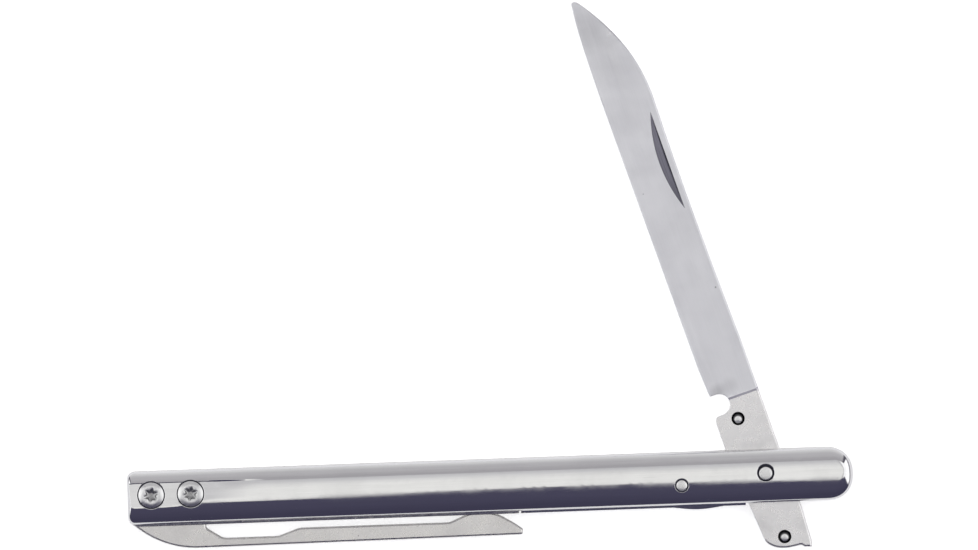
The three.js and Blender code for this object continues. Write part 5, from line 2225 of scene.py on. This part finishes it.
@dataclass
class Studio:
    """Camera, floor, lamp and the pale room round the knife."""

    target: Point = (1.05, 35.42)
    distance: float = 1500.0
    lens: float = 327.7
    sensor: float = 36.0
    clip_end: float = 20.0
    roll: float = -2.05
    floor_half: float = 3.0
    paper: tuple[Color, Color] = ((0.88, 0.88, 0.88, 1), (0.90, 0.90, 0.90, 1))
    paper_glow: float = 0.6
    mirrored_glow: float = 0.15
    lamp_place: Triple = (0.1, 0.25, 1.2)
    lamp_size: float = 1.0
    lamp_watts: float = 5.0
    bow: Triple = (0.45, 1.5, 5.0)
    right_turn: float = 6.0
    front_edge: Point = (-4.5, -3.5)
    front_reach: Point = (62.0, 67.0)
    front_fade: Point = (-60.0, -5.0)
    front_tones: tuple[Color, Color] = ((0.052, 0.049, 0.085, 1), (0.07, 0.066, 0.11, 1))
    back_edge: Point = (15.0, 16.5)
    back_reach: Point = (52.0, 56.0)
    back_fade: Point = (16.0, 40.0)
    back_tones: tuple[Color, Color] = ((0.41, 0.40, 0.415, 1), (0.50, 0.49, 0.505, 1))
    back_top: Veil = (40.0, 85.0, (0.72, 0.72, 0.72, 1))
    back_side: Veil = (38.0, 46.0, (0.12, 0.115, 0.14, 1))
    over_fade: Point = (-3.0, 15.0)
    over_tones: tuple[Color, Color] = ((0.90, 0.895, 0.87, 1), (0.60, 0.595, 0.61, 1))
    grey_band: Veil = (3.5, 6.0, (0.5, 0.49, 0.5, 1))
    white_band: Veil = (6.5, 9.0, (1.1, 1.1, 1.1, 1))
    walls: Veil = (24.0, 40.0, (1.25, 1.25, 1.25, 1))
    skirting: Veil = (66.0, 74.0, (0.3, 0.29, 0.32, 1))

    def build(self) -> None:
        """Sets the whole studio up."""
        self.camera()
        self.floor()
        self.lamp()
        self.room()

    def camera(self) -> None:
        """A long lens straight above the knife."""
        data = bpy.data.cameras.new("camera")
        data.lens = self.lens
        data.sensor_width = self.sensor
        data.clip_end = self.clip_end
        obj = in_scene("camera", data)
        obj.location = (self.target[0] * MM, self.target[1] * MM, (self.distance + LAYOUT.mid_z) * MM)
        obj.rotation_euler = (0, 0, math.radians(self.roll))
        bpy.context.scene.camera = obj

    def floor(self) -> None:
        """A white sheet that keeps the knife's shadow."""
        mesh = bpy.data.meshes.new("floor")
        size = self.floor_half
        mesh.from_pydata([(-size, -size, 0), (size, -size, 0), (size, size, 0), (-size, size, 0)], [], [(0, 1, 2, 3)])
        obj = in_scene("floor", mesh)
        material = bpy.data.materials.new("white paper")
        material.use_nodes = True
        tree = Tree(material.node_tree)
        principled = tree.tree.nodes["Principled BSDF"]
        place = tree.add("ShaderNodeTexCoord").outputs["Object"]
        fibre = tree.ramp(tree.noise(place, WIDE_CELLS), low=0.3, high=0.7)
        tree.link(tree.mix(fibre, *self.paper), principled.inputs["Base Color"])
        principled.inputs["Roughness"].default_value = 0.9
        principled.inputs["Specular IOR Level"].default_value = 0.1
        path = tree.add("ShaderNodeLightPath")
        mirrored = tree.math("MULTIPLY", path.outputs["Is Glossy Ray"], self.mirrored_glow)
        seen = tree.math("MAXIMUM", path.outputs["Is Camera Ray"], mirrored)
        principled.inputs["Emission Color"].default_value = (1, 1, 1, 1)
        tree.link(tree.math("MULTIPLY", seen, self.paper_glow), principled.inputs["Emission Strength"])
        mesh.materials.append(material)

    def lamp(self) -> None:
        """One broad overhead panel for a soft shadow."""
        data = bpy.data.lights.new("panel", "AREA")
        data.shape = "SQUARE"
        data.size = self.lamp_size
        data.energy = self.lamp_watts
        obj = in_scene("panel", data)
        obj.location = self.lamp_place
        obj.visible_glossy = False
        obj.visible_camera = False

    def room(self) -> None:
        """A white room with a dark side towards the front and a grey one behind, as the steel mirrors them."""
        world = bpy.data.worlds.new("room")
        bpy.context.scene.world = world
        world.use_nodes = True
        tree = Tree(world.node_tree)
        background = world.node_tree.nodes["Background"]
        parts = tree.add("ShaderNodeSeparateXYZ")
        tree.link(tree.add("ShaderNodeTexCoord").outputs["Generated"], parts.inputs[0])
        x, y, z = parts.outputs
        degrees = lambda operation, *values: tree.math("MULTIPLY", tree.math(operation, *values), 180 / math.pi)
        side = degrees("ARCTAN2", tree.math("ABSOLUTE", x), tree.math("ABSOLUTE", y))
        tilt = degrees("ARCTAN2", y, z)
        along = degrees("ARCTAN2", x, z)
        zenith = degrees("ARCCOSINE", z)
        past = lambda tone, angle, low, high, beyond: tree.mix(tree.ramp(angle, low, high), tone, beyond)
        centre, growth, limit = self.bow
        bow = tree.math("POWER", tree.math("ABSOLUTE", tree.math("SUBTRACT", along, centre)), 2.0)
        bow = tree.math("MINIMUM", tree.math("MULTIPLY", bow, growth), limit)
        edge = tree.math("ADD", tilt, bow)
        turned_right = tree.math("MULTIPLY", tree.math("GREATER_THAN", x, 0.0), self.right_turn)
        reached = tree.ramp(tree.math("ADD", side, turned_right), *self.front_reach, 1.0, 0.0)
        front = tree.math("MULTIPLY", tree.ramp(edge, *self.front_edge, 1.0, 0.0), reached)
        back = tree.math("MULTIPLY", tree.ramp(tilt, *self.back_edge), tree.ramp(side, *self.back_reach, 1.0, 0.0))
        tone = tree.mix(tree.ramp(tilt, *self.over_fade), *self.over_tones)
        aside = tree.math("ABSOLUTE", along)
        tone = past(past(tone, aside, *self.grey_band), aside, *self.white_band)
        tone = past(past(tone, zenith, *self.walls), zenith, *self.skirting)
        grey = tree.mix(tree.ramp(tilt, *self.back_fade), *self.back_tones)
        grey = past(past(grey, tilt, *self.back_top), side, *self.back_side)
        tone = tree.mix(back, tone, grey)
        dark = tree.mix(tree.ramp(tilt, *self.front_fade), *self.front_tones)
        tone = tree.mix(front, tone, dark)
        path = tree.add("ShaderNodeLightPath")
        tone = tree.mix(path.outputs["Is Camera Ray"], tone, (1, 1, 1, 1))
        tree.link(tone, background.inputs["Color"])
        background.inputs["Strength"].default_value = 1.0


def main() -> None:
    """Builds every piece in order and reports it."""
    logging.basicConfig(level=logging.INFO, format="%(name)s: %(message)s")
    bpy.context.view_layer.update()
    bpy.context.scene.view_settings.view_transform = "Standard"
    Studio().build()
    LOG.info("studio is set")
    finishes = Finishes()
    row = row_tree()
    pieces = [*Handle().build(finishes), *Liners().build(finishes), PocketClip().build(finishes)]
    pieces += [*Blade().build(finishes, row), *Fasteners().build(finishes, row)]
    for obj in pieces:
        LOG.info("%s: %d faces", obj.name, len(obj.data.polygons))


if __name__ == "__main__":
    main()
